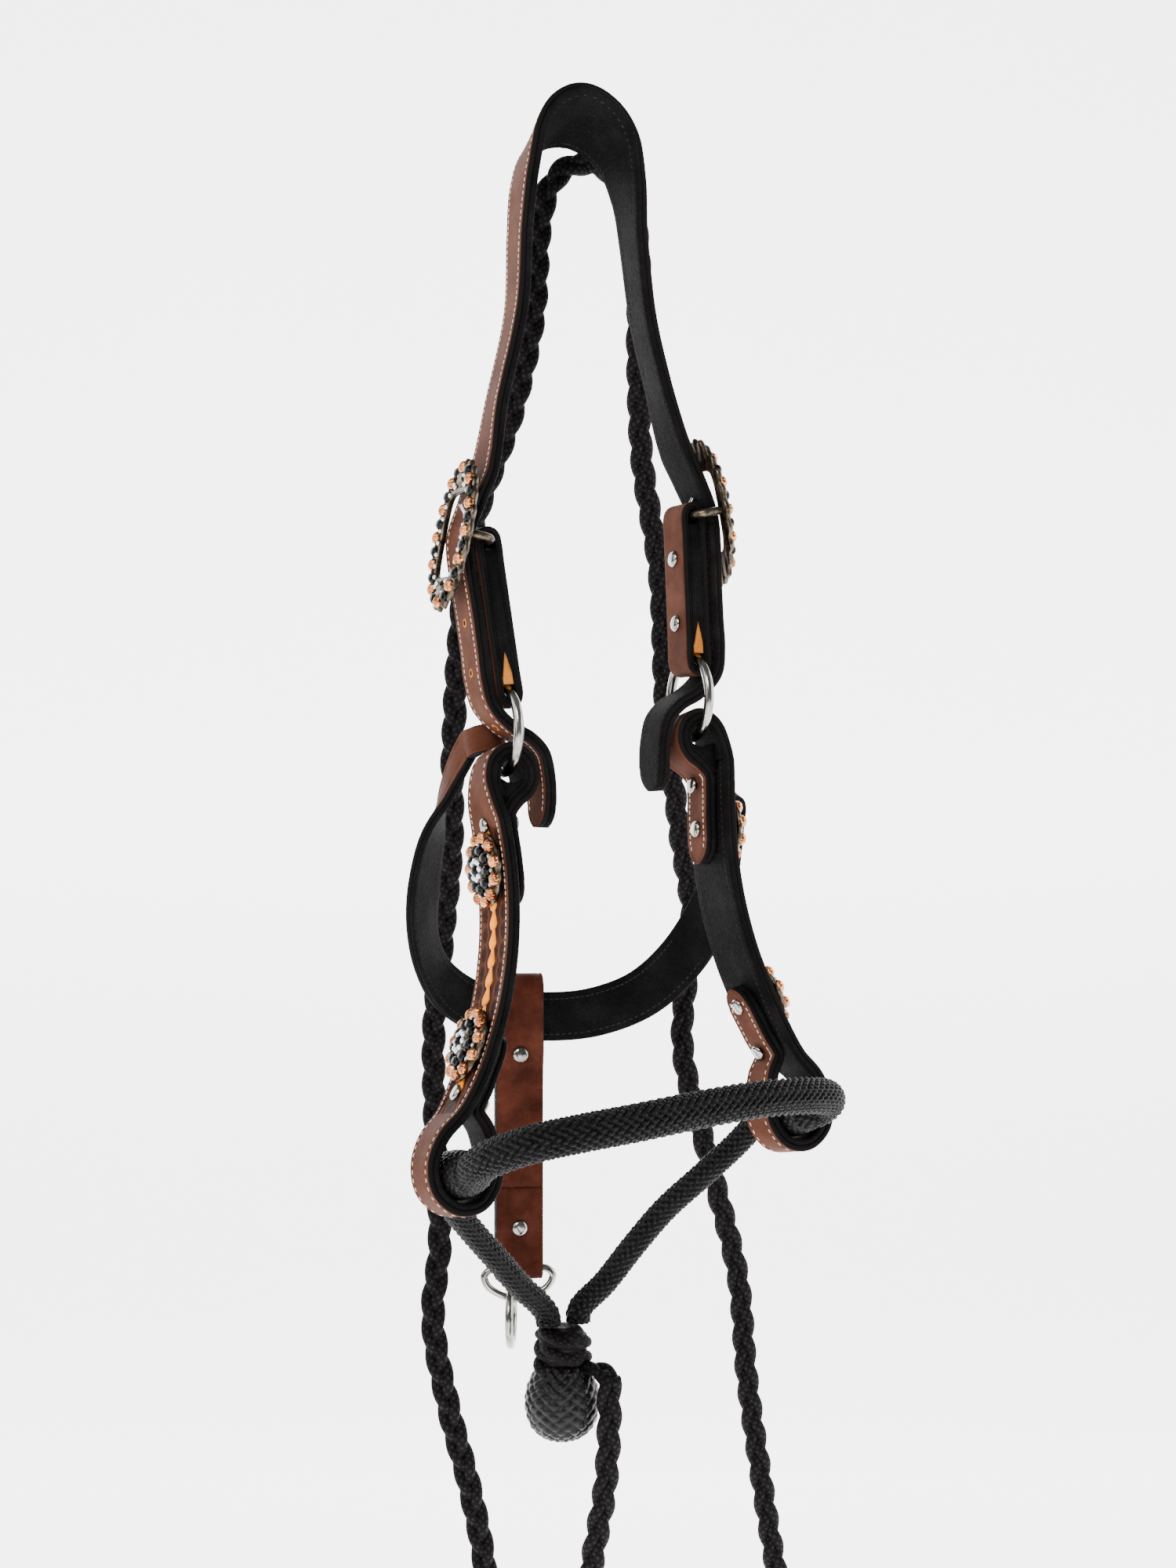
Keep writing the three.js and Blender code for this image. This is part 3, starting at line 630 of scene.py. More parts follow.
def stitches(run, start, end, margin, height, pitch=3.1, length=2.2, radius=0.36):
    base, faces = capsule(length, radius)
    parts = []
    for side in (-1, 1):
        s = np.arange(start + pitch / 2, end, pitch)
        a = side * (run.half(s) - margin)
        at = run.at(s, a, np.full(len(s), height))
        t, w, n = (unit(run.along(s, k)) for k in "twn")
        for p, x, y, z in zip(at, t, w, n):
            verts = p + base[:, :1] * x + base[:, 1:2] * y + base[:, 2:] * z
            parts.append((verts, faces, base[:, :2]))
    return merged(parts)


print("a stitch is 2.2 mm of thread in every 3.1 mm")

# %% [markdown]
# ## The crown strap
# The crown is one long strap: it goes up from the left billet, over the hook, where it is
# widest, and down to the right billet. The black lining is a little wider than the brown
# face, so a rolled black edge shows all along it.

# %% Crown
MIDDLE, DROP = 4, 9
LINING, GAP, STRAP = 3.4, 0.3, 6.3
SUNK = 0.05
BAR = (57, -8, -210)
RING = (52, -24, -304)
SIDES = [("left", -1, -DROP), ("right", 1, DROP)]
billet = [
    (42, -140), (50, -173), (58, -192), (64.6, -209), (64.6, -226), (63, -245), (61.8, -264),
    (60.9, -280), (58.2, -291), (49.6, -299.6), (39.3, -305.4), (31.8, -313.5), (28.6, -326),
    (28, -340), (28.6, -352)]
arch = [
    (-27, -100), (-25, -60), (-22.5, -34), (-17, -15), (-8, -4.2), (3, 0), (14, -4.2),
    (23.5, -15), (29.5, -34), (32.5, -60), (38, -100)]


def crown_stops():
    def tail(s, dz):
        stops = []
        for i, (x, z) in enumerate(billet):
            below = min(1, (BAR[2] - z) / 80)
            y = BAR[1] * (-140 - z) / 70 if z > BAR[2] else BAR[1] + (RING[1] - 1 - BAR[1]) * below
            half = 7 if i == len(billet) - 1 else 12.7 if z > -200 else 11.6
            facing = (0.12, 0.99, 0) if z > -160 else (0, 1, 0)
            stops.append((MIDDLE + s * x, min(0, y), z + dz, half, facing))
        return stops

    top = []
    for x, z in arch:
        tip = max(0, 1 + z / 70)
        top.append((x, 0, z, 12.7 + 6.3 * tip, (0.12 * (1 - tip), 1 - 0.18 * tip, -0.57 * tip)))
    return tail(-1, -DROP)[::-1] + top + tail(1, DROP)


CROWN_PER, CROWN_SEAM = 12, 3.3
crown = Run(crown_stops(), per=CROWN_PER, tips=11)
pad = layer(crown, 0, LINING, inset=-0.7, edge=1.65)
piece("crown_pad", pad, black_pad, "crown", ["crown_lining"])
face = layer(crown, LINING - 0.1, STRAP, inset=-0.2, edge=1.1, relief=channel(CROWN_SEAM))
piece("crown_face", face, brown, "crown", ["crown_leather"])
rows = stitches(crown, 8, crown.s[-1] - 8, CROWN_SEAM, STRAP - SUNK)
piece("crown_stitches", rows, thread, "crown")
inner_rows = stitches(crown, 8, crown.s[-1] - 8, CROWN_SEAM, SUNK)
piece("crown_lining_stitches", inner_rows, dark_thread, "crown")
print("the crown strap is", round(crown.s[-1]), "mm from tip to tip")

# %% [markdown]
# ## Small metal fittings
# Rings, staples and dees are round wire: a circle swept along a line. The CAD
# versions have few facets, so each is remade smooth on the same centre line and size.
# Rivets are turned, with a domed head.

# %% Wire and rivets
def wire(points, radius, sides=12, closed=True, steps=None, up=(0, 1, 0)):
    count = steps or 12 * len(points)
    u = np.linspace(0, 1, count, endpoint=not closed)
    line = catmull(points, u, closed)
    return sweep(line, np.broadcast_to(np.array(up, float), line.shape), circle(radius, sides), closed)


def ring_shape(radius, thickness):
    a = np.linspace(0, 2 * math.pi, 96, endpoint=False)
    y, z = radius * np.cos(a), radius * np.sin(a)
    line = np.stack([0 * a, y, z], -1)
    return sweep(line, np.broadcast_to(np.array([1.0, 0, 0]), line.shape), circle(thickness, 16), True)


def facing(axis, centre):
    """A matrix that turns Z to axis and moves the origin to centre."""
    z = unit(np.array(axis, float))
    x = unit(np.cross((0, 1, 0) if abs(z[1]) < 0.9 else (1, 0, 0), z))
    m = np.eye(4)
    m[:3, 0], m[:3, 1], m[:3, 2], m[:3, 3] = x, np.cross(z, x), z, centre
    return m


def rivet_shape(grip, head=4.3, dome=1.8, rib_height_and_shade=True):
    h = grip / 2 + GAP
    cap = [(head, h), (head - 0.1, h + 0.5), (head * 0.8, h + dome * 0.75), (head * 0.4, h + dome * 0.97),
           (0, h + dome)]
    end = [(1.6, h), *cap] if rib_height_and_shade else [(1.6, h - GAP), (0, h - GAP)]
    foot = [(r, -z) for r, z in cap[::-1]]
    return lathe([*foot, (1.6, -h), *end], 24)


for side, s, dz in SIDES:
    at = matrix((MIDDLE + s * RING[0], RING[1], RING[2] + dz))
    piece(f"ring_{side}", ring_shape(20.9, 2.5), nickel, f"ring_{side}",
          [f"cheek_ring_{side}"], at)
print("two cheek rings of 5 mm wire, 37 mm inside")

# %% [markdown]
# ## Cart buckles
# The buckle's frame is an oval plate with a window. Round it sit fluted copper beads and
# black stones by turns, with tiny clear stones between them, and a star sits above and
# below the window. Everything is set a hair into the plate. The billet holes are thin
# raised rims round black discs, because the strap itself is not cut: the discs are painted
# shade standing for the dark inside of each hole.

# %% Stones, beads and stars
def bead(radius, flutes=7, squash=0.8):
    profile = [(radius * math.cos(a), radius * squash * math.sin(a)) for a in np.linspace(-1.57, 1.57, 9)]
    relief = lambda along, v: -0.2 * radius * (1 - np.abs(np.sin(math.pi * flutes * v)) ** 0.7)
    return lathe(profile, flutes * 6, relief)


def cut_stone(radius, sides=8):
    return lathe([(0, -0.3 * radius), (radius * 0.9, -0.3 * radius), (radius, 0.1 * radius),
                  (radius * 0.86, 0.42 * radius), (radius * 0.5, 0.72 * radius), (0, 0.76 * radius)], sides)


def star(radius, points=8, height=1.6):
    a = np.linspace(0, 2 * math.pi, points * 2, endpoint=False)
    r = np.where(np.arange(points * 2) % 2 == 0, radius, radius * 0.62)
    rim = np.stack([r * np.cos(a), r * np.sin(a), np.zeros(points * 2)], -1)
    raised = np.stack([r * 0.55 * np.cos(a), r * 0.55 * np.sin(a), np.full(points * 2, height)], -1)
    floor = rim - (0, 0, 1)
    n = points * 2
    verts = np.vstack([floor, rim, raised])
    return verts, grid_faces(3, n) + end_caps(3, n), verts[:, :2]


def placed(shape, m):
    verts, faces, uv = shape
    return moved(verts, m), faces, uv


def oval_plate(outer, window, thick, teeth=24):
    """A plate between an oval and a rounded window, with a raised and scalloped rim."""
    a = np.linspace(0, 2 * math.pi, teeth * 8, endpoint=False)
    scallop = 1 + 0.03 * np.cos(a * teeth)
    rim = np.stack([outer[0] * np.cos(a), outer[1] * np.sin(a)], -1) * scallop[:, None]
    power = 5
    r = (np.abs(np.cos(a) / window[0]) ** power + np.abs(np.sin(a) / window[1]) ** power) ** (-1 / power)
    hole = np.stack([r * np.cos(a), r * np.sin(a)], -1)
    rows = [(0.0, 0.3), (0.0, 1.9), (0.06, 2.7), (0.16, 3.0), (0.24, 2.4), (0.78, 2.4), (0.86, 3.1),
            (0.97, 2.9), (1.0, 2.2), (1.0, 0.3), (0.95, 0.0), (0.05, 0.0)]
    verts = []
    for mix, height in rows:
        yz = rim * (1 - mix) + hole * mix
        verts.append(np.column_stack([np.full(len(a), height * thick / 3), yz]))
    verts = np.vstack(verts)
    faces = [f[::-1] for f in grid_faces(len(rows), len(a), True)]
    return verts, faces, verts[:, 1:]


def around_oval(half_y, half_z, count, shift=0.0):
    """Evenly spaced places round an oval in the YZ plane."""
    a = np.linspace(0, 2 * math.pi, 2000)
    line = np.stack([half_y * np.sin(a), half_z * np.cos(a)], -1)
    s = arc_length(line)
    at = (np.arange(count) + shift) / count * s[-1]
    return [(np.interp(v, s, line[:, 0]), np.interp(v, s, line[:, 1])) for v in at]


for side, s, dz in SIDES:
    bar_at = (MIDDLE + s * BAR[0], BAR[1], BAR[2] + dz)
    at = matrix(bar_at, ("Y", -s * 0.2)) @ np.diag([s, 1, 1, 1])
    plate = placed(oval_plate((22, 38), (13.6, 21.5), 3), matrix((13, 0, 0)))
    base = piece(f"buckle_{side}", plate, old_silver, "crown",
                 [f"buckle_frame_{side}"], at)
    outward = lambda y, z, x=15.2: facing((1, 0, 0), (x, y, z))
    spots = around_oval(18.9, 34.2, 24)
    beads = merged([placed(bead(3.3), outward(y, z, 16)) for y, z in spots[0::2]])
    darks = merged([placed(cut_stone(3.1), outward(y, z, 15.6)) for y, z in spots[1::2]])
    smalls = around_oval(15.4, 30.4, 24, 0.5)
    sparks = [placed(cut_stone(1.25, 8), outward(y, z, 16.2)) for y, z in smalls]
    stars = merged([placed(star(6.6, 6, 1.8), outward(0, z, 15.4)) for z in (-28.6, 28.6)])
    sparks += [placed(cut_stone(1.3), outward(y, z, 16.2)) for y in (-6, 6) for z in (-24.6, 24.6)]
    piece(f"buckle_beads_{side}", beads, copper, "crown", place=at)
    piece(f"buckle_black_stones_{side}", darks, black_stone, "crown", place=at, smooth=False)
    piece(f"buckle_clear_stones_{side}", merged(sparks), clear_stone, "crown", place=at,
          smooth=False)
    piece(f"buckle_stars_{side}", stars, old_silver, "crown", place=at, smooth=False)
    staple = [(12.7, -16.6, 0), (3, -16.6, 0), (0.4, -14, 0), (0, -11, 0), (0, 0, 0), (0, 11, 0),
              (0.4, 14, 0), (3, 16.6, 0), (12.7, 16.6, 0)]
    piece(f"bar_{side}", wire(staple, 2.2, closed=False, up=(0, 0, 1)), old_silver, "crown",
          [f"buckle_bar_{side}"], at)
    eye = ring_shape(3.5, 1.0)
    eye = (eye[0] @ np.array([[0, 1, 0], [1, 0, 0], [0, 0, 1]]), [f[::-1] for f in eye[1]], eye[2])
    along = np.array([math.cos(0.87), 0, math.sin(0.87)])
    prong = [along * r for r in (3.4, 8, 14, 19, 21)]
    tongue = merged([eye, wire(prong, 1.5, closed=False, steps=30)])
    piece(f"tongue_{side}", tongue, nickel, f"tongue_{side}", [f"buckle_tongue_{side}"], at)
HOLE_STEP = 25.4
rings, hole_shade_discs = [], []
for start, way in ((10, -1), (30, 1)):
    for k in range(4):
        s = np.array([crown.s[start * CROWN_PER] + way * HOLE_STEP * k])
        stand = facing(unit(crown.along(s, "n"))[0], crown.at(s, [0], [STRAP])[0])
        rings.append(placed(lathe([(0, -0.4), (2.3, -0.4), (2.3, 0.05), (1.9, 0.16), (0, 0.16)], 20), stand))
        # The black disc in each hole is painted shade for the hole's dark inside.
        hole_shade_discs.append(placed(lathe([(0, -0.3), (1.3, -0.3), (1.3, 0.19), (0, 0.19)], 16), stand))
piece("billet_hole_rims", merged(rings), raw_hide, "crown")
piece("billet_hole_shade_discs", merged(hole_shade_discs), black_pad, "crown")
print("two cart buckles, 44 by 76 mm, and billet holes", HOLE_STEP, "mm apart")

# %% [markdown]
# ## Chapes
# A band of folded leather joins each buckle bar to its ring, and two rivets close it. A
# black stiffener fills the fold. Its foot is notched, and raw tan leather shows there.

# %% Chapes
CHAPE_HALF, CHAPE_T, GRIP = 11, 4, 3
chape_top = np.array([BAR[0], 0, BAR[2]], float)
chape_foot = np.array([RING[0], 0, RING[2] + 20.9 - 3.4])
chape_down = unit(chape_foot - chape_top)
chape_out = np.array([-chape_down[2], 0, chape_down[0]])


def chape_stop(base, a, b, half=CHAPE_HALF):
    p = base + chape_out * a + chape_down * b
    return (p[0], 0, p[2], half)


g, c = GRIP, GRIP * math.sqrt(0.5)
top, foot = chape_top, chape_foot
chape_loop = [
    chape_stop(*v) for v in [
        (top, 0, -g), (top, c, -c), (top, g, 0), (top, g, 12), (top, g, 38), (foot, g, -12), (foot, g, 0),
        (foot, c, c), (foot, 0, g), (foot, -c, c), (foot, -g, 0), (foot, -g, -12), (top, -g, 38),
        (top, -g, 12), (top, -g, 0), (top, -c, -c)]]
chape_run = Run(chape_loop, per=8, closed=True)
core_run = Run([chape_stop(top + chape_down * 7, 0, 0), chape_stop(foot - chape_down * 5, 0, 0)], per=30)
stiff_outline = [chape_stop(*v)[::2] for v in [
    (foot, -2.85, -9), (foot, 0, -22), (foot, 2.85, -9), (top, 2.85, 5), (top, -2.85, 5)]]


def slanted(shape):
    verts = shape[0].copy()
    along = np.clip((BAR[2] - verts[:, 2]) / (BAR[2] - chape_foot[2]), 0, 1)
    verts[:, 1] += BAR[1] + (RING[1] - BAR[1]) * along
    return verts, shape[1], shape[2]


for side, s, dz in SIDES:
    at = matrix((MIDDLE, 0, dz), flip=s)
    band = layer(chape_run, 1.0, CHAPE_T, inset=-0.1, edge=1.3)
    under = layer(chape_run, 0, 1.25, inset=-0.1, edge=0.6)
    piece(f"chape_face_{side}", slanted(band), brown, "crown", [f"chape_{side}"], at)
    piece(f"chape_edge_{side}", slanted(under), black_pad, "crown", place=at)
    core = layer(core_run, -GRIP + GAP, GRIP - GAP, inset=0.6, edge=0.5)
    piece(f"chape_core_{side}", slanted(core), raw_hide, "crown", [f"chape_filler_{side}"], at)
    stiffener = prism(stiff_outline, CHAPE_HALF + 0.1)
    piece(f"chape_stiffener_{side}", slanted(stiffener), black_pad, "crown", place=at)
    for i, f in enumerate((0.3, 0.74)):
        hole = chape_top * (1 - f) + chape_foot * f
        shift = BAR[1] + (RING[1] - BAR[1]) * min(1, (BAR[2] - hole[2]) / (BAR[2] - chape_foot[2]))
        head = placed(rivet_shape(2 * (GRIP + CHAPE_T), rib_height_and_shade=False), facing(chape_out, hole + (0, shift, 0)))
        piece(f"chape_rivet_{side}_{i + 1}", head, nickel, "crown",
              [f"chape_rivet_{side}_{i + 1}"], at)
print("chapes run", round(float(np.linalg.norm(chape_foot - chape_top))), "mm from bar to ring")

# %% [markdown]
# ## Cheeks
# Each cheek is one wide strap that folds round the ring at the top and round the rope's
# side button at the bottom. Its outer face is tooled with rows of oval stamps, laced
# down the middle with orange lace and carries two conchos. The tooling is real relief,
# so the face has a fine mesh, and the pressed places carry the dark dye mark. The same
# mark paints shade in a lane under the lace, so the gaps between the links read dark.

# %% Cheek line
LEAN = -0.169
FOLD, WIDE = 10.5, 19
cheek_line = [
    (3.1, -86, 7), (3.6, -80, FOLD), (4.5, -62, FOLD), (5.6, -49, FOLD), (5.4, -41, FOLD),
    (0, -34, FOLD), (-5.6, -29.5, FOLD), (-8, -24, FOLD), (-6, -17, FOLD), (0, -13.6, FOLD),
    (6, -17, FOLD), (8.8, -25, FOLD + 1), (8.6, -34, 15), (6.4, -46, WIDE - 1),
    (4.9, -62, WIDE), (4.4, -84, WIDE), (6.5, -108, WIDE), (11.5, -132, WIDE),
    (19, -154, WIDE), (27, -172, WIDE - 1), (35.5, -186, 16), (46, -197, 13.5),
    (50.6, -208, 12), (49, -219, 11.5), (41, -225.7, 11.2), (32, -224.6, 11.2), (25.6, -216, 11.2),
    (25.4, -205, 11.2), (27.6, -194, 11), (32.2, -184, FOLD), (26.5, -172, FOLD),
    (18.4, -154.6, FOLD), (15.6, -147.6, 7)]
PER, LINK = 24, 9.6
cheek_run = Run([(x, 0, z, half) for x, z, half in cheek_line], per=PER, tips=10)
stop_s = lambda stop: float(np.interp(stop * PER, np.arange(len(cheek_run.s)), cheek_run.s))
tooled_from, tooled_to = stop_s(13.1), stop_s(20.2)
lace_from, lace_to = stop_s(14.75), stop_s(17.65)


def ovals(s, a):
    """Dark oval stamps down both sides of the face, as depth from 0 to 1."""
    window = np.clip((s - tooled_from) / 3, 0, 1) * np.clip((tooled_to - s) / 3, 0, 1)
    x = ((s - tooled_from) % LINK - LINK / 2) / 4.5
    y = (np.abs(a) - 11.2) / 3.1
    inside = 1 / (1 + np.exp((x**2 + y**2 - 0.9) * 9))
    seeds = 0.75 + 0.25 * np.sin(s * 4.1 + 3 * np.sin(a * 2.6)) * np.sin(a * 4.4)
    return inside * window * seeds


def scallops(s, a):
    """The cut line that waves between the lace and the stamps."""
    window = (s > tooled_from) & (s < tooled_to)
    edge = 6.0 + 0.9 * np.cos((s - tooled_from) / LINK * 2 * math.pi)
    return window * np.exp(-(((np.abs(a) - edge) / 0.45) ** 2))


def cheek_relief(s, a, h):
    groove = -0.35 * np.exp(-(((np.abs(a) - (h - 3.2)) / 0.6) ** 2))
    bow = tooled_from - 1.5 + 5 * (1 - np.cos(np.clip(np.abs(a) / 15, 0, 1) * math.pi)) / 2
    carved = 1 / (1 + np.exp((bow - s) * 3)) * 1 / (1 + np.exp((s - tooled_to) * 3))
    inner = 1 / (1 + np.exp((np.abs(a) - 14.6) * 4))
    return -0.6 * ovals(s, a) + groove - 0.4 * scallops(s, a) - 0.45 * carved * inner


# %% [markdown]
# ## Conchos
# A concho is a domed disc screwed to the cheek: fluted copper beads round the rim, a ring
# of black stones inside them, and clear stones round one black stone in the middle.

# %% Conchos
def concho_parts():
    rim = lambda along, v: 0.35 * np.cos(2 * math.pi * 16 * v) * (along > 14)
    body = lathe(fine_profile([(0, 0), (14, 0), (17, 0.5), (18, 2), (16.6, 3), (12.6, 3.4), (11.8, 4.4),
                               (6.6, 5.2), (6.0, 6.4), (0, 6.8)], 4), 96, rim)
    turn = lambda count, r, z, phase=0.0: [
        matrix((r * math.cos(a), r * math.sin(a), z))
        for a in (np.arange(count) + phase) / count * 2 * math.pi]
    beads = merged([placed(bead(3.4), m) for m in turn(11, 15.3, 3.6)])
    darks = [placed(cut_stone(3.0), m) for m in turn(9, 9.4, 5.2)]
    darks.append(placed(cut_stone(2.6, 10), matrix((0, 0, 7.2))))
    clears = merged([placed(cut_stone(1.6, 8), m) for m in turn(8, 4.5, 6.9)]
                    + [placed(cut_stone(1.1, 6), m) for m in turn(11, 12.7, 4.4, 0.5)])
    return body, beads, merged(darks), clears


concho = concho_parts()


def cheek_frame(stop):
    s = stop_s(stop)
    t = unit(cheek_run.along(np.array([s]), "t"))[0]
    return cheek_run.at(np.array([s]), [0], [0])[0], unit(np.cross(t, (0, 1, 0))), t


def turned_to(out, along, at):
    m = np.eye(4)
    m[:3, 2], m[:3, 0] = out, along
    m[:3, 1] = np.cross(out, along)
    m[:3, 3] = at
    return m


# %% [markdown]
# ## Lace and side buttons
# The lace is a chain of flat turns down the middle of the face, each one narrow at the
# top and heart-shaped below. Each side button is the woven sleeve on the rope's end, held
# in the cheek's lower loop.

# %% Cheeks, conchos, lace and buttons
def lace_link(run, start, length=11.2, half=3.9):
    """One flat turn of lace: narrow where it comes up, wide and heart-shaped below."""
    t = np.linspace(0, 1, 16)[:, None]
    c = np.linspace(-1, 1, 11)[None]
    width = half * np.interp(t, [0, 0.2, 0.5, 0.68, 0.85, 1], [0.3, 0.42, 0.8, 1, 0.72, 0.1])
    drop = 1.3 * (1 - np.abs(c)) * np.clip((0.35 - t) / 0.35, 0, 1)
    a = width * c
    b = STRAP - 0.35 + 1.5 * np.clip(t * 1.6, 0.35, 1) * np.sqrt(1 - 0.92 * c**2) - 0.5 * (t > 0.97)
    split = -0.3 * np.exp(-((c / 0.16) ** 2)) * (t > 0.25)
    top = run.at(start + t * length + drop + 0 * c, a, b + split)
    low = run.at(start + t * length + drop + 0 * c, a[:, ::-1], np.full_like(a, STRAP - 0.9))
    ring = np.concatenate([top, low], axis=1)
    rows, cols = ring.shape[:2]
    faces = [f[::-1] for f in grid_faces(rows, cols) + end_caps(rows, cols)]
    return ring.reshape(-1, 3), faces, ring.reshape(-1, 3)[:, :2]


throat = [
    (6.2, -40.5), (6.9, -38), (8.2, -33), (8.3, -26), (6.5, -25.2), (3.5, -27.2), (0, -27.6),
    (-3.5, -26.6), (-6.6, -25), (-7.2, -26.4), (-5.2, -29.2), (0.4, -33.7)]
fold_run = Run([(x, 0, z, half) for x, z, half in cheek_line[4:13]], per=12)
rivet_stops, spread = (13.05, 14.3, 18.1, 19.4), (2.6, 0.5, 0.5, 2)
for side, s, dz in SIDES:
    at = matrix((MIDDLE + s * RING[0], RING[1], RING[2] + dz), ("X", LEAN)) @ np.diag([s, 1, 1, 1])
    pad = layer(cheek_run, 0, LINING, inset=-0.6, edge=1.65)
    piece(f"cheek_pad_{side}", pad, black_pad, "cheeks", [f"cheek_lining_{side}"], at)
    snug = layer(fold_run, -1.9, 0.2, inset=0.2, edge=0.8)
    snug = (snug[0], snug[1], snug[2][:, :2])
    piece(f"cheek_throat_{side}", merged([snug, prism(throat, FOLD - 0.8)]), black_pad, "cheeks",
          place=at)
    face = layer(cheek_run, LINING - 0.1, STRAP, inset=-0.2, edge=1.1, inner=90, relief=cheek_relief)
    along_face, across_face, painted = face[2].T
    # The lane under the lace is painted shade: it darkens the face where the gaps between the lace links
    # fall.
    lace_shade_lane = np.exp(-((across_face / 4.8) ** 8)) * (along_face > tooled_from - 2) * (along_face < tooled_to)
    dye_and_lace_shade = 0.95 * ovals(along_face, across_face) + 0.8 * scallops(along_face, across_face) + 0.85 * lace_shade_lane
    piece(f"cheek_face_{side}", face, brown, "cheeks", [f"cheek_leather_{side}"], at,
          dye_and_shade=np.clip(np.maximum(dye_and_lace_shade, painted), 0, 1))
    sewn = merged([
        stitches(cheek_run, 7, stop_s(4.5), 3.2, STRAP - SUNK),
        stitches(cheek_run, stop_s(9.5), cheek_run.s[-1] - 7, 3.2, STRAP - SUNK)])
    piece(f"cheek_stitches_{side}", sewn, thread, "cheeks", place=at)
    seams = stitches(cheek_run, stop_s(12), stop_s(21), 4.2, SUNK)
    piece(f"cheek_lining_stitches_{side}", seams, dark_thread, "cheeks", place=at)
    starts = [*np.arange(lace_from, lace_to - 4, LINK), stop_s(13.3) - 6, stop_s(13.3) + 3.6, stop_s(18.8)]
    links = merged([lace_link(cheek_run, start) for start in starts])
    piece(f"cheek_lace_{side}", links, lace, "cheeks", place=at)
    for i, (stop, apart) in enumerate(zip(rivet_stops, spread)):
        p, out, t = cheek_frame(stop)
        pin_at = facing(out, p - out * apart / 2)
        shape = rivet_shape(2 * STRAP + apart, rib_height_and_shade=i in (0, 3))
        piece(f"cheek_rivet_{side}_{i + 1}", placed(shape, pin_at), nickel, "cheeks",
              [f"cheek_rivet_{side}_{i + 1}"], at)
    for word, stop in (("upper", 14.3), ("lower", 18.1)):
        p, out, t = cheek_frame(stop)
        on = at @ turned_to(out, t, p + out * (STRAP + 0.9))
        body, beads, darks, clears = concho
        name = f"concho_{side}_{word}"
        piece(name, body, old_silver, "cheeks", [name], on)
        piece(name + "_beads", beads, copper, "cheeks", place=on)
        piece(name + "_black_stones", darks, black_stone, "cheeks", place=on, smooth=False)
        piece(name + "_clear_stones", clears, clear_stone, "cheeks", place=on, smooth=False)
    barrel = [(0, -17), (8.8, -16.6), (10.5, -12), (11.5, -5), (11.6, 0), (11.5, 5), (10.5, 12), (8.8, 16.6),
              (0, 17)]
    button = woven_turn(barrel, 16, 4.4, 2, 0.9, 160, 16)
    stand = facing((0, 1, 0), (38, 0, -213))
    piece(f"button_{side}", placed(button, stand), plait_hide, "bosal",
          [f"side_button_{side}"], at)
print("cheeks", round(cheek_run.s[-1]), "mm of strap each")

# %% [markdown]
# ## The rope noseband and shanks
# The noseband is plaited in a herringbone of twenty-eight strands over a core, and the
# shanks in a thinner plait that runs in to the heel knot. At this size the surface of a
# close plait is a height map wrapped on a tube, with real crossings in the mesh.

# %% Plaited tubes
def plaited_rope(points, radius, strands, pitch, over, depth, sides, step=0.5):
    line = even_line(points, step)
    s = arc_length(line)[:, None]
    v = (np.arange(sides) / sides)[None]
    size = radius + weave(s, v, strands, pitch, over, depth)
    a = 2 * math.pi * v
    section = np.stack([size * np.cos(a), size * np.sin(a)], -1)
    return sweep(line, steady_up(line, (0.1, 0.1, 1)), section)


nose = [
    (94, -77.4, -502), (94.3, -80.8, -501.3), (97, -88.5, -497.5), (93, -98, -492.5),
    (78, -110, -489), (42, -125, -486.5), (6, -133, -488), (-30, -137, -491.5), (-56, -134, -495),
    (-76, -124, -500), (-87.5, -106, -508), (-89, -92.5, -514), (-86.2, -80.8, -519.3),
    (-86, -77.4, -520)]
shanks = {
    "right": [(94, -42.4, -508), (93.8, -39, -508.6), (90, -32, -514), (81, -25, -526),
              (67, -17, -541), (51, -6, -559), (37, 2, -578), (23, 9, -598), (12.5, 13, -609),
              (10.6, 13.4, -613), (10.5, 13.4, -617.6)],
    "left": [(-86, -42.4, -526), (-85.8, -39, -526.6), (-83, -32, -532), (-75, -25, -544),
             (-61, -16, -559), (-43, -6, -577), (-26, 4, -594), (-12, 11.5, -606),
             (-6.8, 13.3, -613), (-6.5, 13.4, -617.6)]}
piece("noseband", plaited_rope(nose, 8.3, 14, 4.7, 2, 2.2, 128), rope_hide, "bosal",
      ["nose_rope"])
for side, points in shanks.items():
    piece(f"shank_{side}", plaited_rope(points, 6.2, 10, 4.4, 2, 1.7, 96), rope_hide, "bosal",
          [f"shank_rope_{side}"])
print("noseband", round(arc_length(even_line(nose, 1))[-1]), "mm of rope between the buttons")

# %% [markdown]
# ## The heel knot
# The shanks meet in wraps of the same plaited rope as the lead, above a shiny woven
# knob. The last turn leaves the wraps over the knob's top and becomes the lead.

# %% Heel wraps and knob
turns = np.linspace(0, 2 * math.pi * 2.15, 60)
coil = [(2 + 9.6 * math.cos(a + 2.6), 14 + 9.6 * math.sin(a + 2.6), -621.5 - 9.5 * a / (2 * math.pi) / 1.1)
        for a in turns]
tail = [(13.8, 6.4, -640.6), (17.4, 0.2, -640.6), (18.3, -7, -643.5)]
wraps, _ = plait_strands(even_line([coil[i] for i in range(0, 60, 3)] + tail, 1.2), 0.0,
                         width=2.9, thick=1.6, strand=2.8, reference=np.array([0.05, 0.05, 1.0]))
core = lathe(fine_profile([(0, -8.5), (10, -8.5), (12, -4), (12, 4), (9, 10), (0, 10)], 4), 48)
wraps = merged([wraps, placed(core, matrix((2, 14, -629.2)))])
piece("heel_wraps", wraps, rope_yarn, "bosal", ["heel_wrap"])
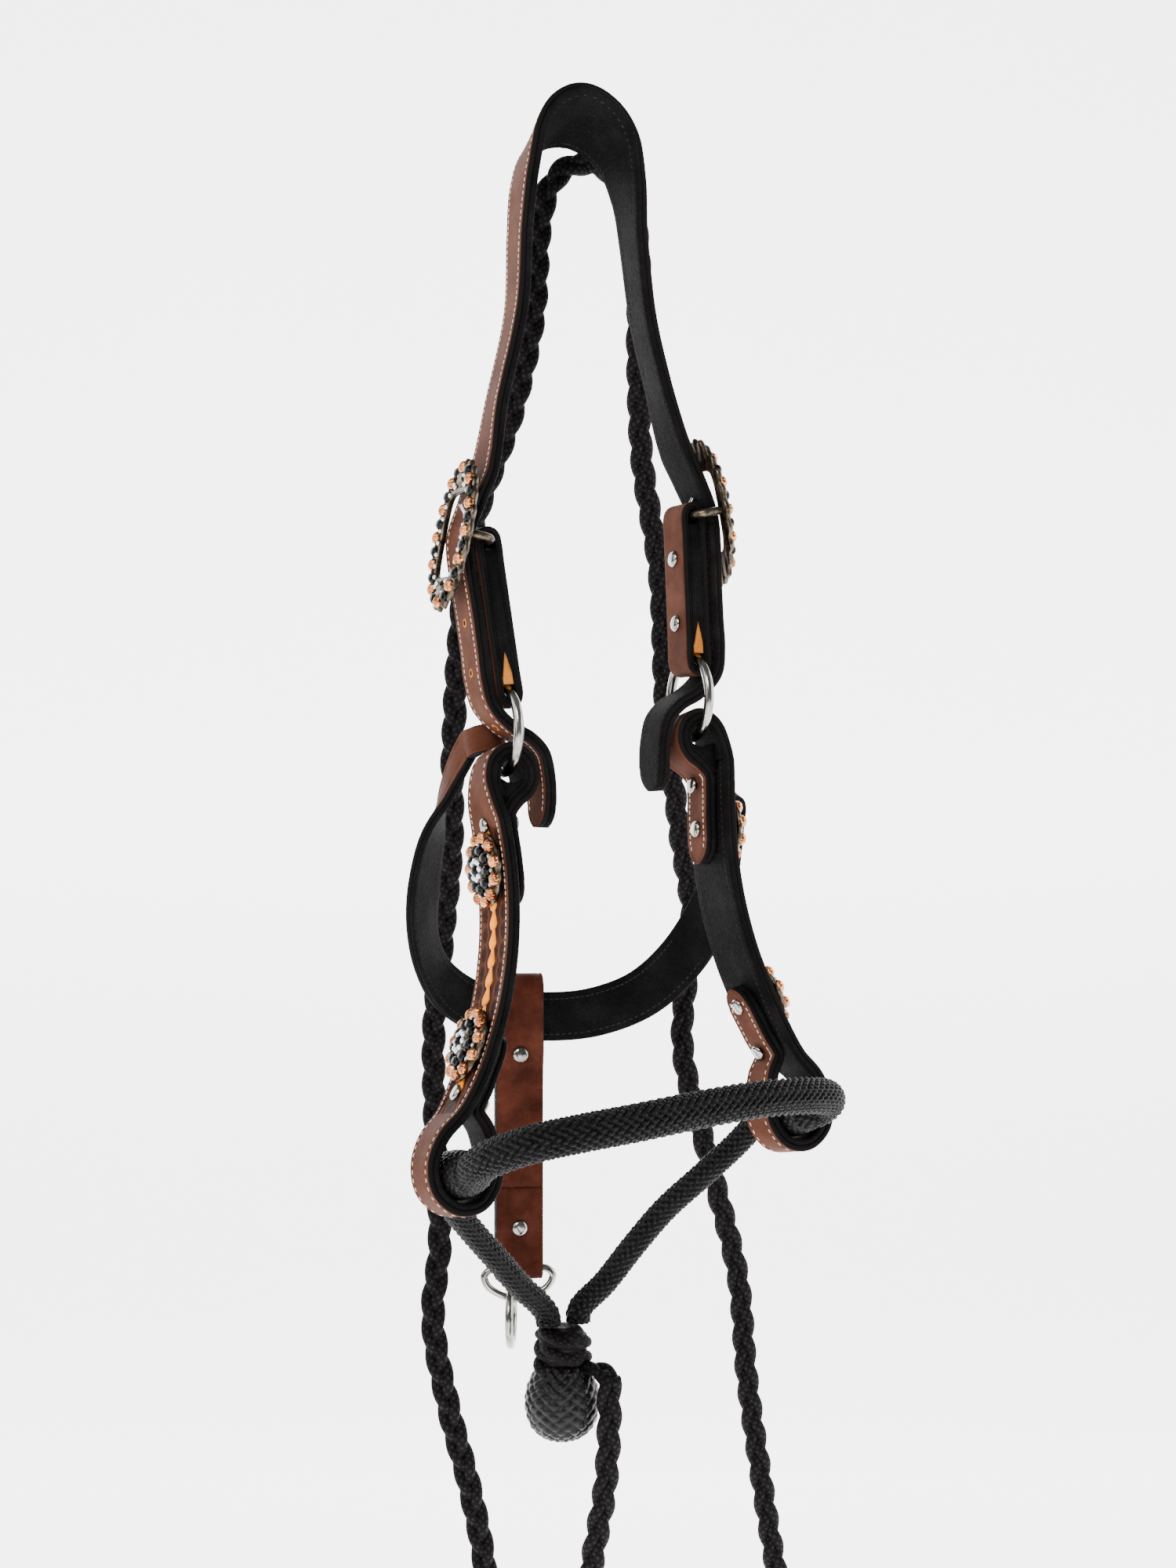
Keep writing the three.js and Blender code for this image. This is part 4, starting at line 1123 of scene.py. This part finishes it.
knob = [(0, -20), (9, -18.4), (16, -12.5), (19.1, -3), (18.6, 6), (15.5, 14), (11, 19.6), (0, 19.6)]
knob_shape = placed(woven_turn(knob, 14, 6.2, 2, 1.3, 196, 14), matrix((2, 15, -658)))
piece("heel_knob_weave", knob_shape, plait_hide, "bosal", ["heel_knob"])
print("the heel knob is 38 mm across")

# %% [markdown]
# ## The jaw strap
# It loops the left ring, passes behind the jaw and ends in a small dee on the right
# cheek. Its black lining faces the horse, so that is the side seen from the front.

# %% Jaw strap
PAD, JAW = 2.6, 5.2
JAW_PER, JAW_SEAM, HALF = 12, 3.2, 12.7
jaw_ends = {
    "left": ((-48, -3.8, -318.4), (0, 0.966, -0.259), (0, -0.259, -0.966), 4.5),
    "right": ((85, -11, -350), (0.08, 0.35, -0.93), (0, -0.93, -0.35), 2.4)}


def jaw_end(side, out):
    p, go, w, r = (np.array(v, float) for v in jaw_ends[side])
    w = unit(w - go * (w @ go))
    off = unit(np.cross(go, w) * out)
    c = r * math.sqrt(0.5)
    ring = [(20, -r, 6), (8, -r, 7), (0, -r, 7), (-c, -c, 7), (-r, 0, 7), (-c, c, 7), (0, r, 7), (8, r, 7.5)]
    return [(*(p + go * a + off * b), half, tuple(w)) for a, b, half in ring]


jaw_round = [
    (-57.5, 21, -345, 10, (-0.35, -0.6, -0.8)), (-63.5, 28, -372, 12, (-0.8, -0.6, -0.4)),
    (-64, 37, -398, HALF, (-0.8, -0.5, -0.5)), (-57, 51, -425, HALF, (-0.5, -0.4, -0.8)),
    (-41.5, 64, -446, HALF, (-0.2, -0.25, -1)), (-15, 71, -461, HALF, (0, -0.05, -1)),
    (16, 63, -464.5, HALF, (0, 0, -1)), (39.5, 54, -462, HALF, (0.05, -0.1, -1)),
    (63, 44, -452, HALF, (0.3, -0.2, -1)), (80.5, 32, -432, HALF, (0.5, -0.4, -0.9)),
    (88.5, 16, -404, HALF, (0.3, -0.7, -0.8)), (89.5, 4, -380, 11, (0.1, -0.8, -0.6))]
jaw = Run(jaw_end("left", 1) + jaw_round + jaw_end("right", -1)[::-1], per=JAW_PER)
piece("jaw_pad", layer(jaw, 0, PAD, inset=-0.5, edge=1.25), black_pad, "jaw",
      ["jaw_strap_lining"])
piece("jaw_face", layer(jaw, PAD - 0.1, JAW, inset=-0.2, edge=1.1, relief=channel(JAW_SEAM)), brown, "jaw",
      ["jaw_strap_leather"])
jaw_from, jaw_to = jaw.s[9 * JAW_PER], jaw.s[-10 * JAW_PER]
piece("jaw_stitches", stitches(jaw, jaw_from, jaw_to, JAW_SEAM, JAW - SUNK), thread, "jaw")
piece("jaw_lining_stitches", stitches(jaw, jaw_from, jaw_to, JAW_SEAM, SUNK), dark_thread, "jaw")
p, go, w, _ = (np.array(v, float) for v in jaw_ends["right"])
w = unit(w - go * (w @ go))
outline = [(0, 0), (7.6, 0), (9.8, -2.4), (9.8, -8.6), (8.4, -13.6), (5, -14.4), (-8, -10.6),
           (-9.8, -8), (-9.8, -2.4), (-7.6, 0)]
corners = [tuple(p + w * a + np.array([b, 0, 0])) for a, b in outline]
piece("jaw_dee_wire", wire(corners, 1.5, 14, True, 120, up=(0.3, 0.9, -0.3)), nickel, "cheeks",
      ["jaw_dee"])


def rounded_block(size, edge, steps=3):
    """A block with rounded edges: half sizes in millimetres."""
    bm = bmesh.new()
    bmesh.ops.create_cube(bm, size=2)
    bmesh.ops.scale(bm, vec=size, verts=bm.verts)
    bmesh.ops.bevel(bm, geom=bm.edges, offset=edge, segments=steps, affect="EDGES", profile=0.5)
    verts = np.array([v.co for v in bm.verts])
    faces = [tuple(v.index for v in f.verts) for f in bm.faces]
    bm.free()
    return verts, faces, verts[:, 1:]


clip = placed(rounded_block((0.8, 2.5, 3.5), 0.5), matrix((73.2, -18, -347)))
piece("jaw_clip", clip, nickel, "cheeks", ["jaw_dee_clip"])
print("the jaw strap is", round(jaw.s[-1]), "mm long")

# %% [markdown]
# ## The centre tab
# A folded strap of red-brown leather hangs over the jaw strap. Two pieces meet at a butt
# seam with a black filler between the plies, and the lower fold holds a dee and a ring.

# %% Tab, dee and tie ring
TAB_T, SEAM, DEE_Z, DEE_R = 3.2, -92, -137, 2
tab_at = matrix((1.3, 70.4, -463.4), ("Z", -0.28))
tab_stop = lambda y, z, half=12.7: (0, y, z, half, (1, 0, 0))
upper = [tab_stop(*v) for v in [
    (2.2, SEAM), (2.2, -40), (3.4, -28), (5.6, -16), (6.2, 0), (6.2, 12), (4.4, 17), (0, 19.2),
    (-4.4, 17), (-6.2, 12), (-6.2, 0), (-5.6, -16), (-3.4, -28), (-2.2, -40), (-2.2, SEAM)]]
r = DEE_R + 0.4
lower = [tab_stop(*v) for v in [
    (-2.2, SEAM - GAP), (-2.2, -118), (-r, DEE_Z + 3), (-r, DEE_Z), (-r * 0.7, DEE_Z - r * 0.7),
    (0, DEE_Z - r), (r * 0.7, DEE_Z - r * 0.7), (r, DEE_Z), (r, DEE_Z + 3), (2.2, -118),
    (2.2, SEAM - GAP)]]


def creases(s, a, h):
    """Soft wrinkles that lie across the strap, with a rolled edge."""
    waves = np.sin(s * 0.9 + 1.3 * np.sin(a * 0.5)) * np.sin(s * 0.23 + 2) * 0.14
    waves += np.sin(s * 0.47 + a * 0.22) * 0.1
    return waves - 0.3 * np.exp(-(((np.abs(a) - (h - 2.2)) / 0.7) ** 2))


for word, stops in (("upper", upper), ("lower", lower)):
    run = Run(stops, per=14)
    piece(f"tab_{word}_face", layer(run, 0.9, TAB_T, inset=0.0, edge=1.0, inner=24, relief=creases), tab_hide,
          "tab", [f"tab_{word}"], tab_at)
    piece(f"tab_{word}_edge", layer(run, 0, 1.05, inset=0.0, edge=0.5), black_pad, "tab",
          place=tab_at)
filler = Run([tab_stop(0, -32), tab_stop(0, -128)], per=40)
piece("tab_core", layer(filler, -1.8, 1.8, inset=0.1, edge=0.6), black_pad, "tab",
      ["tab_filler"], tab_at)
for word, z, grip in (("upper", -20.5, 5.6), ("lower", -114, 2.2)):
    head = placed(rivet_shape(2 * (grip + TAB_T)), facing((0, 1, 0), (0, 0, z)))
    piece(f"tab_stud_{word}", head, nickel, "tab", [f"tab_rivet_{word}"], tab_at)
dee = [(x, 0, DEE_Z + z) for x, z in [
    (-15, 0), (0, 0), (15, 0), (18.6, -3.5), (15.5, -10), (0, -16.2), (-15.5, -10), (-18.6, -3.5)]]
piece("dee", wire(dee, DEE_R, 14, True, 120), nickel, "dee", ["tab_dee"], tab_at)
tie_top = DEE_Z - 15.4 + DEE_R + 2.2 + GAP
tie_at = tab_at @ matrix((-4, 0, tie_top - 14.8)) @ matrix(turn=("Z", -0.2))
piece("tie_ring_wire", ring_shape(14.8, 2.2), nickel, "tie", ["tie_ring"], tie_at)
print("the tab hangs", -DEE_Z, "mm below the jaw strap")

# %% [markdown]
# ## The stage
# A pale floor under the rope's tail and a pale wall behind, joined by a wide curve, so
# that no corner shows. The paper gives off some light, which keeps it white. They are
# only a stage and no part of the halter.

# %% Floor and wall
backdrop, tree, shader = new_material("pale_paper", 0.9)
paper = node(tree, "ShaderNodeTexNoise", [("Vector", place_of(tree))], Scale=3, Detail=2)
base_ramp(tree, shader, paper.outputs["Fac"], [(0.3, (0.93, 0.93, 0.935)), (0.7, (0.95, 0.95, 0.95))])
shader.inputs["Emission Color"].default_value = (1, 1, 1, 1)
shader.inputs["Emission Strength"].default_value = 3.2
FLOOR, WALL, SWEEP, WIDTH = -1.25, 2.6, 0.8, 6.0
curve = [(-4.0, FLOOR)] + [
    (WALL - SWEEP + SWEEP * math.sin(a), FLOOR + SWEEP - SWEEP * math.cos(a))
    for a in np.linspace(0, math.pi / 2, 24)] + [(WALL, 3.0)]
away = np.array([-to_camera[0], -to_camera[1]])
sideways = np.array([away[1], -away[0]])
verts = [(*(away * d + sideways * x), z) for d, z in curve for x in (-WIDTH, WIDTH)]
faces = [(2 * i, 2 * i + 1, 2 * i + 3, 2 * i + 2) for i in range(len(curve) - 1)]
mesh = bpy.data.meshes.new("backdrop")
mesh.from_pydata(verts, [], faces)
mesh.polygons.foreach_set("use_smooth", [True] * len(mesh.polygons))
mesh.materials.append(backdrop)
stage = bpy.data.objects.new("backdrop", mesh)
bpy.context.scene.collection.objects.link(stage)
print("floor at", FLOOR, "m")

# %% [markdown]
# ## Light
# A large soft key from the upper left, a fill from the right and a low one in front keep
# black rope readable on a white ground. One lamp on each side is for the wall.

# %% Lamps
def lamp(name, place, target, power, size, colour=(1, 1, 1)):
    data = bpy.data.lights.new(name, "AREA")
    data.energy, data.color = power, colour
    data.shape, data.size = "DISK", size
    obj = bpy.data.objects.new(name, data)
    obj.location = place
    obj.rotation_euler = (Vector(target) - Vector(place)).to_track_quat("-Z", "Y").to_euler()
    bpy.context.scene.collection.objects.link(obj)


lamp("key", (-1.3, -1.3, 0.9), (0, 0, -0.35), 44, 0.9)
lamp("fill", (1.4, -1.1, -0.1), (0, 0, -0.4), 16, 1.2)
lamp("front", (-0.7, -1.6, -1.0), (0, 0, -0.45), 8, 1.0)
lamp("paper_left", (-1.1, 0.05, 0.2), (0.1, 0.55, -0.4), 12, 1.2)
lamp("paper_right", (1.2, -0.25, 0.0), (0.3, 0.3, -0.5), 12, 1.2)
world = bpy.data.worlds.new("studio")
world.use_nodes = True
world.node_tree.nodes["Background"].inputs["Color"].default_value = (1, 1, 1, 1)
world.node_tree.nodes["Background"].inputs["Strength"].default_value = 0.3
bpy.context.scene.world = world
print("five lamps and a white sky")
